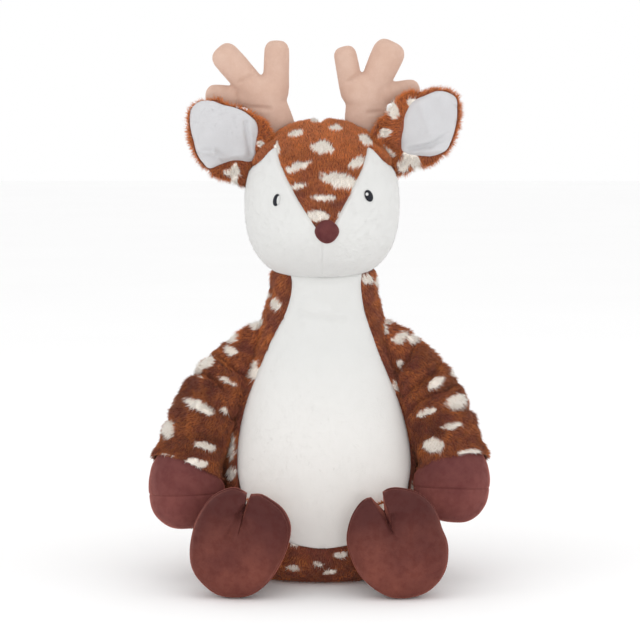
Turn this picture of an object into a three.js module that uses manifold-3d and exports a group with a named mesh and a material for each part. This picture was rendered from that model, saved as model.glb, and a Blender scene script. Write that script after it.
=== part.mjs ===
// A sitting plush deer: cut panels round stuffed pods, stuffed limbs, ears, antlers and a tail.
// Millimetres, +Z up. The deer looks along -Y and its own left is +X.
// The origin is the middle of the flat underside that it sits on.

import * as THREE from 'three';
import { mergeVertices } from 'three/addons/utils/BufferGeometryUtils.js';
import Module from 'manifold-3d';

// Cloth and seams
const sewnGap = 0.3;
const panelThickness = 3;
const overrun = 500;
const weldDistance = 0.0001;

// How far each sewn joint turns, in degrees from rest: a seam gives, and then the cloth is taut
const armLift = 80;
const legRaise = 30;
const legDrop = 12;
const earDroop = 35;
const earLift = 8;
const antlerSway = 12;
const tailRaise = 20;
const tailDrop = 30;

// Torso, a pear that stands on its flat base
const torsoHalfWidth = 79;
const torsoHalfDepth = 71;
const torsoHeight = 240;
const baseSeamHeight = 16;
// height share, girth share
const torsoShares = [
  [0, 0.8], [0.028, 0.905], [0.09, 0.97], [0.19, 1], [0.31, 0.987], [0.43, 0.93], [0.55, 0.832],
  [0.66, 0.713], [0.76, 0.602], [0.86, 0.51], [1, 0.485],
];

// Belly panel, a pear outline seen from the front
// height share of the torso, half width share of the torso
const bellyShares = [
  [0.112, 0], [0.12, 0.2], [0.142, 0.38], [0.182, 0.57], [0.23, 0.71], [0.3, 0.79], [0.37, 0.805],
  [0.44, 0.785], [0.54, 0.72], [0.64, 0.61], [0.735, 0.49], [0.83, 0.37], [0.9, 0.335], [1, 0.4],
];

// Head, fuller at the jaw than at the crown, with a short muzzle. Heights of what is sewn on it
// are counted from its middle.
const headHalfWidth = 57.5;
const headHalfHeight = 60;
const headHalfDepth = 54;
const headAboveNeck = 38.5;
const headForward = 4;
const jawFullness = 2.6;
const crownFullness = 2.1;
const muzzleReach = 11;
const muzzleDrop = 20;
const muzzleSpread = 22;
const muzzleSharpness = 4;
const jawRoundShare = 0.78;
const headPoleShare = 0.35;
const headBackSeam = 8;

// Forehead gusset: its edge seen from the front, from the nose up to a corner and out to the ear
const gussetNoseHalfWidth = 11.5;
const gussetNoseDrop = 18.5;
const gussetCornerHalfWidth = 37.5;
const gussetCornerRise = 35.5;
const gussetEarHalfWidth = 48;

// Nose pad on the muzzle and embroidered eyes
const noseHalfWidth = 8.8;
const noseHalfHeight = 8.2;
const noseHalfDepth = 5.5;
const noseSideways = 1.5;
const eyeHalfWidth = 3.4;
const eyeHalfHeight = 4.9;
const eyeThickness = 0.9;
const eyeApart = 33.3;
const eyeRise = { left: 4, right: 2 };

// Ears: a leaf on a ball that sits in the side of the head
const earBallRadius = 11;
const earRootOut = 50;
const earRootForward = 3;
const earRootRise = 21.5;
const earLength = 70;
const earHalfWidth = 30;
const earThickness = 6;
const earCup = 9;
const earTipForward = 7;
const earLiningThickness = 2;
const earLiningMargin = 5;
const earRise = { left: 52, right: 47 };
// length share, half width share
const earShares = [
  [0.06, 0.3], [0.18, 0.62], [0.36, 0.9], [0.56, 1], [0.76, 0.91], [0.92, 0.6], [1, 0.24],
];

// Antlers: a stuffed trunk with three tines on a ball that sits in the crown
const antlerBallRadius = 12.5;
const antlerRootRise = 51.5;
const antlerRootForward = -9;
const antlerHeight = 67;
const antlerHalfDepth = 9.5;
const antlerTrunkHalfWidth = 16;
const antlerFullnessShare = 0.25;
const antlerCapShares = [0, 0.47, 0.83];
const antlerRootOut = { left: 31.5, right: 34.5 };
// Each branch: sideways share and height share of its start and end, the half width shares of the
// trunk there, and the share by which its end lies back. Sideways is counted outward from the root.
const antlerShares = {
  left: [
    [0, 0, 0.06, 0.4, 1, 0.96, 0], [0, 0.4, -0.2, 0.85, 0.58, 0.6, 0],
    [0.1, 0.42, 0.25, 0.85, 0.74, 0.8, 0], [0.16, 0.34, 0.54, 0.44, 0.46, 0.46, 0.12],
  ],
  right: [
    [0, 0, 0.18, 0.4, 1, 0.96, 0], [0.08, 0.38, 0.01, 0.87, 0.58, 0.57, 0],
    [0.22, 0.42, 0.51, 0.78, 0.74, 0.79, 0], [0.22, 0.34, 0.68, 0.38, 0.5, 0.46, 0.12],
  ],
};

// Arms: a tapered sleeve on a ball in the shoulder, with a hoof at its end
const armBallRadius = 17;
const shoulderOut = 51;
const shoulderForward = 4;
const shoulderBelowNeck = { left: 69, right: 72 };
const armOut = { left: 45, right: 48.5 };
const armForward = 34;
const armDrop = { left: 127, right: 129.5 };
const armHalfWidth = 27;
const armHalfDepth = 24.5;
const armCuffShare = 0.67;
const handSeamShare = 0.81;
// outward, forward and downward shares of the path, then the half width and half depth shares
const armShares = [
  [0, 0, 0, 0.55, 0.6], [0.28, 0.13, 0.1, 0.65, 0.7], [0.58, 0.38, 0.25, 0.82, 0.84],
  [0.8, 0.62, 0.39, 0.91, 0.93], [0.92, 0.79, 0.54, 0.96, 0.98], [0.99, 0.91, 0.67, 0.98, 1],
  [1, 0.97, 0.8, 1, 1], [0.99, 1, 0.9, 0.9, 0.9], [0.98, 1, 0.965, 0.64, 0.66],
  [0.97, 1, 1, 0.28, 0.3],
];

// Legs: a tapered sleeve on a ball in the hip, with a cloven foot whose sole faces forward
const legBallRadius = 26;
const hipOut = 50;
const hipForward = 47;
const hipHeight = 36;
const legReach = 79;
const legRise = 4;
const legSplay = { left: 4, right: 11 };
const legHalfWidth = 37.2;
const legHalfHeight = 39.6;
const legCuffShare = 0.58;
const footSeamShare = 0.85;
// path share, then the half width and half height shares
const legShares = [
  [0, 0.6, 0.56], [0.3, 0.68, 0.63], [0.58, 0.75, 0.71], [0.64, 0.84, 0.83], [0.72, 0.94, 0.94],
  [0.82, 1, 1], [0.91, 0.97, 0.97], [0.965, 0.84, 0.84], [0.993, 0.58, 0.58], [1, 0.3, 0.3],
];
const cleftHalfWidth = 3.4;
const cleftDepth = 23;
const cleftLength = 30;
const cleftTop = { left: -9, right: -7 };
const cleftFoot = { left: -1, right: -4 };

// Tail: a short leaf, fur above and white below
const tailBallRadius = 9;
const tailHeight = 46;
const tailBack = 67;
const tailLength = 40;
const tailRise = 22;
const tailHalfWidth = 15;
const tailHalfThickness = 8;
// length share, half width share
const tailShares = [[0, 0.5], [0.25, 0.72], [0.5, 0.95], [0.75, 0.85], [0.92, 0.5], [1, 0.2]];

// Bean bag in the bottom of the torso stuffing
const bagHalfWidth = 44;
const bagHalfHeight = 14;
const bagBack = 6;
const bagCentreHeight = 15;

// Zip across the base, sunk in a slot behind the middle
const zipBack = 24;
const zipSlotLength = 84;
const zipSlotWidth = 9;
const zipTapeLength = 90;
const zipTapeWidth = 18;
const zipTapeThickness = 1;
const zipChainWidth = 4.6;
const zipChainDepth = 1;
const zipSliderLength = 9;
const zipSliderWidth = 7.8;
const zipSliderFloor = 1.1;
const zipPullLength = 12;
const zipPullWidth = 4.2;
const zipPullThickness = 0.9;
const zipPinRadius = 0.35;

// How finely the round forms are cut
const torsoFacets = 18;
const headFacets = 18;
const headRings = 9;
const armFacets = 10;
const legFacets = 14;
const ballFacets = 16;
const ballRings = 6;
const smallFacets = 8;
const earSteps = 5;

const headCentreHeight = torsoHeight + headAboveNeck;
const earRootHeight = headCentreHeight + earRootRise;
const noseHeight = headCentreHeight - muzzleDrop;

const kit = await Module();
kit.setup();

// colour, roughness and metalness of each stuff
const stuffs = {
  fur: { color: 0x8a4f38, roughness: 0.95, metalness: 0 },
  whiteFur: { color: 0xecebe6, roughness: 0.95, metalness: 0 },
  brownVelour: { color: 0x7a4540, roughness: 0.9, metalness: 0 },
  tanVelour: { color: 0xd9b59c, roughness: 0.9, metalness: 0 },
  thread: { color: 0x23242e, roughness: 0.4, metalness: 0 },
  fibre: { color: 0xf4f2ec, roughness: 1, metalness: 0 },
  beans: { color: 0xcfc8b8, roughness: 0.8, metalness: 0 },
  tape: { color: 0x6a3f30, roughness: 0.85, metalness: 0 },
  metal: { color: 0x8d8a84, roughness: 0.35, metalness: 0.9 },
};

const axisX = new THREE.Vector3(1, 0, 0);
const axisY = new THREE.Vector3(0, 1, 0);
const axisZ = new THREE.Vector3(0, 0, 1);
const sides = { left: 1, right: -1 };

// A closed three.js geometry as a solid, turned outward if it came out inside out.
function solidOf(geometry) {
  const bare = geometry.index ? geometry.toNonIndexed() : geometry.clone();
  bare.deleteAttribute('normal');
  bare.deleteAttribute('uv');
  const merged = mergeVertices(bare, weldDistance);
  const triVerts = new Uint32Array(merged.index.array);
  const vertProperties = new Float32Array(merged.attributes.position.array);
  const made = new kit.Manifold(new kit.Mesh({ numProp: 3, vertProperties, triVerts }));
  if (made.volume() >= 0) return made;
  for (let i = 0; i < triVerts.length; i += 3) {
    [triVerts[i + 1], triVerts[i + 2]] = [triVerts[i + 2], triVerts[i + 1]];
  }
  return new kit.Manifold(new kit.Mesh({ numProp: 3, vertProperties, triVerts }));
}

// A finished solid as a three.js geometry.
function geometryOf(solid) {
  const mesh = solid.getMesh();
  const geometry = new THREE.BufferGeometry();
  geometry.setAttribute('position', new THREE.BufferAttribute(new Float32Array(mesh.vertProperties), 3));
  geometry.setIndex(Array.from(mesh.triVerts));
  geometry.computeVertexNormals();
  return geometry;
}

// A skin over rings of points, one after the other, closed by a fan at each end.
function loft(rings) {
  const count = rings[0].length;
  const positions = [];
  const middleOf = (ring) => ring
    .reduce((sum, point) => sum.add(point), new THREE.Vector3())
    .divideScalar(count);
  const face = (a, b, c) => positions.push(...a.toArray(), ...b.toArray(), ...c.toArray());
  const first = middleOf(rings[0]);
  const last = middleOf(rings[rings.length - 1]);
  for (let i = 0; i < count; i += 1) {
    const next = (i + 1) % count;
    face(first, rings[0][next], rings[0][i]);
    face(last, rings[rings.length - 1][i], rings[rings.length - 1][next]);
    for (let r = 0; r + 1 < rings.length; r += 1) {
      face(rings[r][i], rings[r][next], rings[r + 1][i]);
      face(rings[r][next], rings[r + 1][next], rings[r + 1][i]);
    }
  }
  const geometry = new THREE.BufferGeometry();
  geometry.setAttribute('position', new THREE.Float32BufferAttribute(positions, 3));
  return solidOf(geometry);
}

// An ellipse of points round a centre, across one direction and up another.
function ellipse(centre, across, up, halfAcross, halfUp, count) {
  return Array.from({ length: count }, (_, i) => {
    const turn = (i / count) * Math.PI * 2;
    return centre.clone()
      .addScaledVector(across, Math.cos(turn) * halfAcross)
      .addScaledVector(up, Math.sin(turn) * halfUp);
  });
}

// A ball whose rings lie round the hinge that it turns on.
function ball(centre, radius, hinge) {
  const geometry = new THREE.SphereGeometry(radius, ballFacets, ballRings);
  geometry.applyQuaternion(new THREE.Quaternion().setFromUnitVectors(axisY, hinge));
  geometry.translate(centre.x, centre.y, centre.z);
  return solidOf(geometry);
}

// The hollow that a ball turns in: its flats stay clear of the ball's corners.
function socket(centre, radius, hinge) {
  return ball(centre, (radius + sewnGap) / Math.cos(Math.PI / ballFacets), hinge);
}

// A box between two corners.
function block(low, high) {
  const size = high.clone().sub(low);
  const geometry = new THREE.BoxGeometry(size.x, size.y, size.z);
  const middle = low.clone().add(high).divideScalar(2);
  geometry.translate(middle.x, middle.y, middle.z);
  return solidOf(geometry);
}

// All of space on the far side of a plane, as far as the overrun reaches.
function beyond(point, direction) {
  const geometry = new THREE.BoxGeometry(overrun * 2, overrun * 2, overrun);
  geometry.translate(0, 0, overrun / 2);
  const turn = new THREE.Quaternion().setFromUnitVectors(axisZ, direction.clone().normalize());
  geometry.applyQuaternion(turn);
  geometry.translate(point.x, point.y, point.z);
  return solidOf(geometry);
}

// A flat outline seen from the front, carried back from one depth to another.
function frontPrism(outline, nearDepth, farDepth) {
  const shape = new THREE.Shape(outline.map(([x, z]) => new THREE.Vector2(x, z)));
  const geometry = new THREE.ExtrudeGeometry(shape, {
    depth: farDepth - nearDepth,
    bevelEnabled: false,
  });
  geometry.rotateX(Math.PI / 2);
  geometry.translate(0, farDepth, 0);
  return solidOf(geometry);
}

// A flat outline with each of its edges moved outward by the same distance.
function grownOutline(points, grow) {
  const at = (i) => new THREE.Vector2(...points[(i + points.length) % points.length]);
  const sense = Math.sign(THREE.ShapeUtils.area(points.map((_, i) => at(i))));
  const outward = (a, b) => new THREE.Vector2(b.y - a.y, a.x - b.x).normalize().multiplyScalar(sense);
  return points.map((_, i) => {
    const before = outward(at(i - 1), at(i));
    const after = outward(at(i), at(i + 1));
    const mitre = before.clone().add(after);
    return at(i).addScaledVector(mitre, (grow * 2) / mitre.lengthSq()).toArray();
  });
}

// A solid turned by some degrees about a hinge.
function turned(solid, root, hinge, degrees) {
  const turn = new THREE.Matrix4().makeTranslation(root.x, root.y, root.z)
    .multiply(new THREE.Matrix4().makeRotationAxis(hinge, THREE.MathUtils.degToRad(degrees)))
    .multiply(new THREE.Matrix4().makeTranslation(-root.x, -root.y, -root.z));
  return solid.transform(turn.elements);
}

// What is left of a piece beside a larger one, at rest and at both ends of the piece's turn.
function besideWhenTurned(piece, larger, root, hinge, turns) {
  return turns.reduce(
    (left, degrees) => left.subtract(turned(larger, root, hinge, -degrees)),
    piece.subtract(larger),
  );
}

// The torso's pear, drawn in all round by the inset.
function torsoForm(inset) {
  const rings = torsoShares.map(([heightShare, girthShare]) => ellipse(
    new THREE.Vector3(0, 0, heightShare ? heightShare * torsoHeight : inset),
    axisX,
    axisY,
    girthShare * torsoHalfWidth - inset,
    girthShare * torsoHalfDepth - inset,
    torsoFacets,
  ));
  return loft(rings);
}

// The head's egg, drawn in by the inset. Its jaw is round about the neck, so that it can turn.
function headForm(inset, muzzle = muzzleReach) {
  const rings = [];
  for (let i = 0; i < headRings; i += 1) {
    const turn = ((i + headPoleShare) / (headRings - 1 + headPoleShare * 2)) * Math.PI;
    const up = -Math.cos(turn);
    const fullness = up < 0 ? jawFullness : crownFullness;
    const girth = (1 - Math.abs(up) ** fullness) ** (1 / fullness);
    const roundness = THREE.MathUtils.smoothstep(-up, 0, jawRoundShare);
    const halfWidth = girth * headHalfWidth - inset;
    const halfDepth = girth * THREE.MathUtils.lerp(headHalfDepth, headHalfWidth, roundness) - inset;
    const height = headCentreHeight + up * (headHalfHeight - inset);
    const below = (height - headCentreHeight + muzzleDrop) / muzzleSpread;
    const reach = up < -jawRoundShare ? 0 : muzzle * Math.exp(-below * below);
    rings.push(Array.from({ length: headFacets }, (_, k) => {
      const round = (k / headFacets) * Math.PI * 2;
      const forward = Math.max(0, Math.cos(round)) ** muzzleSharpness;
      return new THREE.Vector3(
        Math.sin(round) * halfWidth,
        -headForward - Math.cos(round) * halfDepth - forward * reach,
        height,
      );
    }));
  }
  return loft(rings);
}

// The round hollow in the top of the torso that the head's jaw turns in.
function headSeat() {
  const widen = 1 / Math.cos(Math.PI / headFacets);
  return headForm(-sewnGap, 0)
    .translate([0, headForward, 0])
    .scale([widen, widen, 1])
    .translate([0, -headForward, 0]);
}

// The belly panel seen from the front, from its lowest point up to the neck and down again.
function bellyOutline(grow) {
  const right = bellyShares.map(([heightShare, widthShare]) => [
    widthShare * torsoHalfWidth,
    heightShare * torsoHeight,
  ]);
  const left = right.slice(1).reverse().map(([x, z]) => [-x, z]);
  return grownOutline([...right, ...left], grow);
}

// All that lies on the gusset's side of its edge, seen from the front.
function gussetOutline(grow) {
  const right = [
    [gussetNoseHalfWidth, headCentreHeight - gussetNoseDrop],
    [gussetCornerHalfWidth, headCentreHeight + gussetCornerRise],
    [gussetEarHalfWidth, earRootHeight],
    [overrun, earRootHeight],
    [overrun, headCentreHeight + overrun],
  ];
  const left = right.slice().reverse().map(([x, z]) => [-x, z]);
  return grownOutline([...right, ...left], grow);
}

// A tube of ellipses along a path, square to it, with the given direction as its width's guide.
function limbTube(stations, guide, inset, facets) {
  const points = stations.map((station) => station.at);
  const rings = stations.map((station, i) => {
    const before = points[Math.max(i - 1, 0)];
    const after = points[Math.min(i + 1, points.length - 1)];
    const along = after.clone().sub(before).normalize();
    const across = new THREE.Vector3().crossVectors(guide, along).normalize();
    const up = new THREE.Vector3().crossVectors(along, across);
    const drawnIn = inset * Math.sqrt(1 - station.endShare ** 2);
    const centre = station.at.clone().addScaledVector(along, -drawnIn);
    const halfAcross = Math.max(station.halfAcross - inset, sewnGap);
    const halfUp = Math.max(station.halfUp - inset, sewnGap);
    return ellipse(centre, across, up, halfAcross, halfUp, facets);
  });
  return loft(rings);
}

// The girth share of each station past the widest one, and 1 before it.
function endShares(widths) {
  const widest = widths.indexOf(Math.max(...widths));
  return widths.map((width, i) => (i > widest ? width : 1));
}

function armStations(side) {
  const ends = endShares(armShares.map((row) => row[3]));
  return armShares.map(([out, forward, down, width, depth], i) => ({
    at: new THREE.Vector3(
      sides[side] * (shoulderOut + out * armOut[side]),
      -shoulderForward - forward * armForward,
      torsoHeight - shoulderBelowNeck[side] - down * armDrop[side],
    ),
    halfAcross: width * armHalfWidth,
    halfUp: depth * armHalfDepth,
    endShare: ends[i],
  }));
}

function legStations(side) {
  const ends = endShares(legShares.map((row) => row[1]));
  return legShares.map(([along, width, height], i) => ({
    at: new THREE.Vector3(
      sides[side] * (hipOut + along * legSplay[side]),
      -hipForward - along * legReach,
      hipHeight + along * legRise,
    ),
    halfAcross: width * legHalfWidth,
    halfUp: height * legHalfHeight,
    endShare: ends[i],
  }));
}

// The place on a limb's path at a share of its run, and the way it runs there.
function placeAlong(stations, share, shareOf) {
  const next = stations.findIndex((_, i) => shareOf(i) >= share);
  const a = stations[next - 1].at;
  const b = stations[next].at;
  const part = (share - shareOf(next - 1)) / (shareOf(next) - shareOf(next - 1));
  return { point: a.clone().lerp(b, part), direction: b.clone().sub(a).normalize() };
}

// The split between two lobes of a foot, wider inside than outside by the inset.
function cleft(side, inset) {
  const top = legHalfHeight + hipHeight + legRise;
  const middle = sides[side] * (hipOut + legSplay[side]);
  const topAt = middle + sides[side] * cleftTop[side];
  const footAt = middle + sides[side] * cleftFoot[side];
  const half = cleftHalfWidth + inset;
  const outline = [
    [footAt - sewnGap - inset, top - cleftDepth - inset],
    [footAt + sewnGap + inset, top - cleftDepth - inset],
    [topAt + half, top + half],
    [topAt - half, top + half],
  ];
  const front = -hipForward - legReach;
  return frontPrism(outline, front - overrun / 2, front + cleftLength + inset);
}

// The part of a limb that lies outside the torso, drawn in by the inset.
function limbForm(limb, inset) {
  const tube = limbTube(limb.stations, limb.guide, inset, limb.facets);
  const torso = torsoForm(-sewnGap - inset);
  const whole = besideWhenTurned(tube, torso, limb.root, limb.hinge, limb.turns);
  return limb.cleftSide ? whole.subtract(cleft(limb.cleftSide, inset)) : whole;
}

function armOf(side) {
  const stations = armStations(side);
  const downShare = (i) => armShares[i][2];
  return {
    stations,
    guide: axisY,
    hinge: axisY,
    turns: [-sides[side] * armLift],
    root: stations[0].at,
    ballRadius: armBallRadius,
    facets: armFacets,
    cuff: placeAlong(stations, armCuffShare, downShare),
    seam: placeAlong(stations, handSeamShare, downShare),
    names: [`arm_${side}_sleeve`, `hand_${side}_upper`, `hand_${side}_sole`, `arm_${side}_stuffing`],
  };
}

function legOf(side) {
  const stations = legStations(side);
  const alongShare = (i) => legShares[i][0];
  return {
    stations,
    guide: axisZ,
    hinge: axisX,
    turns: [-legRaise, legDrop],
    root: stations[0].at,
    ballRadius: legBallRadius,
    facets: legFacets,
    cleftSide: side,
    cuff: placeAlong(stations, legCuffShare, alongShare),
    seam: placeAlong(stations, footSeamShare, alongShare),
    names: [`leg_${side}_sleeve`, `foot_${side}_upper`, `foot_${side}_sole`, `leg_${side}_stuffing`],
  };
}

const group = new THREE.Group();
group.name = 'plush_deer';

function place(name, solid, stuff) {
  const mesh = new THREE.Mesh(geometryOf(solid), new THREE.MeshStandardMaterial(stuff));
  mesh.name = name;
  group.add(mesh);
}

// The skin of a limb parted at its cuff and at its hoof's seam, and its stuffing inside.
function placeLimb(limb) {
  const skin = limbForm(limb, 0)
    .add(ball(limb.root, limb.ballRadius, limb.hinge))
    .subtract(limbForm(limb, panelThickness));
  const [sleeve, upper, sole, stuffing] = limb.names;
  const past = ({ point, direction }, distance) => (
    beyond(point.clone().addScaledVector(direction, distance), direction)
  );
  const half = sewnGap / 2;
  place(sleeve, skin.subtract(past(limb.cuff, -half)), stuffs.fur);
  place(upper, skin.intersect(past(limb.cuff, half)).subtract(past(limb.seam, -half)),
    stuffs.brownVelour);
  place(sole, skin.intersect(past(limb.seam, half)), stuffs.brownVelour);
  place(stuffing, limbForm(limb, panelThickness + sewnGap), stuffs.fibre);
}

// Ear: the leaf lies in a plane that leans back a little and is cupped forward at its edges.
function earSheet(side, margin, near, far) {
  const root = earRoot(side);
  const rise = THREE.MathUtils.degToRad(earRise[side]);
  const along = new THREE.Vector3(sides[side] * Math.cos(rise), 0, Math.sin(rise));
  const across = new THREE.Vector3(sides[side] * Math.sin(rise), 0, -Math.cos(rise));
  const rings = earShares.map(([lengthShare, widthShare], i) => {
    const lengthMargin = i === earShares.length - 1 ? margin : 0;
    const startMargin = i === 0 ? margin : 0;
    const centre = root.clone()
      .addScaledVector(along, lengthShare * earLength - lengthMargin + startMargin)
      .addScaledVector(axisY, -lengthShare * earTipForward);
    const half = Math.max(widthShare * earHalfWidth - margin, margin);
    const edge = (k) => (k / earSteps) * 2 - 1;
    const point = (k, depth) => centre.clone()
      .addScaledVector(across, edge(k) * half)
      .addScaledVector(axisY, depth - earCup * edge(k) ** 2 * widthShare);
    const front = Array.from({ length: earSteps + 1 }, (_, k) => point(k, near));
    const back = Array.from({ length: earSteps + 1 }, (_, k) => point(k, far)).reverse();
    return [...front, ...back];
  });
  return loft(rings);
}

function earRoot(side) {
  return new THREE.Vector3(sides[side] * earRootOut, -earRootForward, earRootHeight);
}

function antlerRoot(side) {
  return new THREE.Vector3(sides[side] * antlerRootOut[side], -antlerRootForward,
    headCentreHeight + antlerRootRise);
}

// One round-ended branch of an antler, from its start to its end.
function antlerBranch(side, [fromOut, fromUp, toOut, toUp, fromShare, toShare, backShare]) {
  const at = (out, up, back) => antlerRoot(side)
    .addScaledVector(axisX, sides[side] * out * antlerHeight)
    .addScaledVector(axisY, back * antlerHeight)
    .addScaledVector(axisZ, up * antlerHeight);
  const start = at(fromOut, fromUp, 0);
  const end = at(toOut, toUp, backShare);
  const along = end.clone().sub(start).normalize();
  const across = new THREE.Vector3().crossVectors(axisY, along).normalize();
  const deep = new THREE.Vector3().crossVectors(along, across);
  const ring = (centre, share, roundShare) => ellipse(
    centre,
    across,
    deep,
    antlerTrunkHalfWidth * share * roundShare,
    antlerHalfDepth * Math.min(1, share + antlerFullnessShare) * roundShare,
    smallFacets,
  );
  const cap = antlerCapShares.map((capShare) => ring(
    end.clone().addScaledVector(
      along,
      antlerTrunkHalfWidth * toShare * Math.sin((capShare * Math.PI) / 2),
    ),
    toShare,
    Math.cos((capShare * Math.PI) / 2),
  ));
  return loft([ring(start, fromShare, 1), ...cap]);
}

function antlerForm(side) {
  const root = antlerRoot(side);
  const whole = antlerShares[side]
    .map((branch) => antlerBranch(side, branch))
    .reduce((sum, branch) => sum.add(branch));
  return besideWhenTurned(whole, headForm(-sewnGap), root, axisX, [-antlerSway, antlerSway])
    .add(ball(root, antlerBallRadius, axisX));
}

// Tail: a flat leaf that runs back and up from its ball.
const tailRoot = new THREE.Vector3(0, tailBack, tailHeight);
const tailAlong = new THREE.Vector3(0, tailLength, tailRise).normalize();
const tailUp = new THREE.Vector3().crossVectors(axisX, tailAlong);

function tailForm() {
  const rings = tailShares.map(([lengthShare, widthShare]) => ellipse(
    tailRoot.clone().addScaledVector(tailAlong, lengthShare * tailLength),
    axisX,
    tailUp,
    widthShare * tailHalfWidth,
    widthShare * tailHalfThickness,
    smallFacets,
  ));
  return besideWhenTurned(loft(rings), torsoForm(-sewnGap), tailRoot, axisX, [-tailDrop, tailRaise])
    .add(ball(tailRoot, tailBallRadius, axisX));
}

const zipMiddle = new THREE.Vector3(0, zipBack, 0);
const tapeBottom = panelThickness + sewnGap;
const podFloor = tapeBottom + zipTapeThickness + sewnGap;

// Head and what is sewn on it
const headHollows = ['left', 'right'].map((side) => (
  socket(earRoot(side), earBallRadius, axisY).add(socket(antlerRoot(side), antlerBallRadius, axisX))
)).reduce((all, one) => all.add(one));

function placeHead() {
  const skin = headForm(0).subtract(headForm(panelThickness)).subtract(headHollows);
  const far = -headForward - headHalfDepth - muzzleReach - overrun / 2;
  const seam = new THREE.Vector3(0, headBackSeam, 0);
  const half = sewnGap / 2;
  const front = skin.subtract(beyond(seam.clone().addScaledVector(axisY, -half), axisY));
  place('head_back_panel', skin.intersect(beyond(seam.clone().addScaledVector(axisY, half), axisY)),
    stuffs.fur);
  place('forehead_gusset', front.intersect(frontPrism(gussetOutline(0), far, overrun / 2)), stuffs.fur);
  const white = front.subtract(frontPrism(gussetOutline(sewnGap), far, overrun / 2));
  Object.entries(sides).forEach(([side, sign]) => {
    const outward = axisX.clone().multiplyScalar(sign);
    const middle = outward.clone().multiplyScalar(half);
    place(`cheek_${side}`, white.intersect(beyond(middle, outward)), stuffs.whiteFur);
  });
  place('head_stuffing', headForm(panelThickness + sewnGap).subtract(headHollows), stuffs.fibre);

  const pad = new THREE.SphereGeometry(1, ballFacets, ballRings);
  pad.scale(noseHalfWidth, noseHalfDepth, noseHalfHeight);
  pad.translate(noseSideways, noseFront(), noseHeight);
  place('nose', solidOf(pad).subtract(headForm(-sewnGap)), stuffs.brownVelour);

  const thread = headForm(-sewnGap - eyeThickness).subtract(headForm(-sewnGap));
  Object.entries(sides).forEach(([side, sign]) => {
    const patch = new THREE.CylinderGeometry(1, 1, headHalfDepth, smallFacets);
    patch.scale(eyeHalfWidth, 1, eyeHalfHeight);
    patch.translate(sign * eyeApart, -headForward - headHalfDepth, headCentreHeight + eyeRise[side]);
    place(`eye_${side}`, solidOf(patch).intersect(thread), stuffs.thread);
  });
}

// How far forward the head's surface lies at the nose.
function noseFront() {
  const girth = (1 - (muzzleDrop / headHalfHeight) ** jawFullness) ** (1 / jawFullness);
  return -headForward - girth * headHalfDepth - muzzleReach;
}

function placeEars() {
  Object.keys(sides).forEach((side) => {
    const root = earRoot(side);
    const turns = [sides[side] * earDroop, -sides[side] * earLift];
    const besideHead = (sheet) => besideWhenTurned(sheet, headForm(-sewnGap), root, axisY, turns);
    const leaf = besideHead(earSheet(side, 0, 0, earThickness));
    const lining = besideHead(earSheet(side, earLiningMargin, -sewnGap - earLiningThickness, -sewnGap));
    place(`ear_${side}_back`, leaf.add(ball(root, earBallRadius, axisY)), stuffs.fur);
    const ballRoom = socket(root, earBallRadius + sewnGap, axisY);
    place(`ear_${side}_lining`, lining.subtract(ballRoom), stuffs.whiteFur);
  });
}

// Torso panels, its stuffing, the bean bag and the sockets of what turns on it
function placeTorso(limbs) {
  const hollows = [
    ...limbs.map((limb) => socket(limb.root, limb.ballRadius, limb.hinge)),
    socket(tailRoot, tailBallRadius, axisX),
    headSeat(),
  ].reduce((all, one) => all.add(one));
  const half = sewnGap / 2;
  const seam = new THREE.Vector3(0, 0, baseSeamHeight);
  const skin = torsoForm(0).subtract(torsoForm(panelThickness)).subtract(hollows);
  const near = -torsoHalfDepth - overrun / 2;
  // Between the hips the base comes up in front as far as the belly.
  const baseRegion = (grow) => block(
    new THREE.Vector3(-hipOut - grow, near, -overrun / 2),
    new THREE.Vector3(hipOut + grow, 0, hipHeight + grow),
  ).add(beyond(seam.clone().addScaledVector(axisZ, grow), axisZ.clone().negate()));
  place('belly_panel', skin.intersect(frontPrism(bellyOutline(0), near, 0)), stuffs.whiteFur);
  const fur = skin.subtract(frontPrism(bellyOutline(sewnGap), near, 0));
  const flanks = fur.subtract(baseRegion(sewnGap));
  Object.entries(sides).forEach(([side, sign]) => {
    const outward = axisX.clone().multiplyScalar(sign);
    const middle = outward.clone().multiplyScalar(half);
    place(`side_panel_${side}`, flanks.intersect(beyond(middle, outward)), stuffs.fur);
  });
  const slot = block(
    new THREE.Vector3(-zipSlotLength / 2, zipBack - zipSlotWidth / 2, -sewnGap),
    new THREE.Vector3(zipSlotLength / 2, zipBack + zipSlotWidth / 2, tapeBottom),
  );
  place('base_panel', fur.intersect(baseRegion(0)).subtract(slot), stuffs.fur);

  const aboveFloor = beyond(new THREE.Vector3(0, 0, podFloor), axisZ);
  const pod = torsoForm(panelThickness + sewnGap).intersect(aboveFloor).subtract(hollows);
  place('torso_stuffing', pod.subtract(bagForm(sewnGap)), stuffs.fibre);
  place('bean_bag', bagForm(0).intersect(aboveFloor), stuffs.beans);
}

function bagForm(grow) {
  const geometry = new THREE.SphereGeometry(1, ballFacets, ballRings);
  geometry.rotateX(Math.PI / 2);
  geometry.scale(bagHalfWidth + grow, bagHalfWidth + grow, bagHalfHeight + grow);
  geometry.translate(0, bagBack, bagCentreHeight);
  return solidOf(geometry);
}

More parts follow.
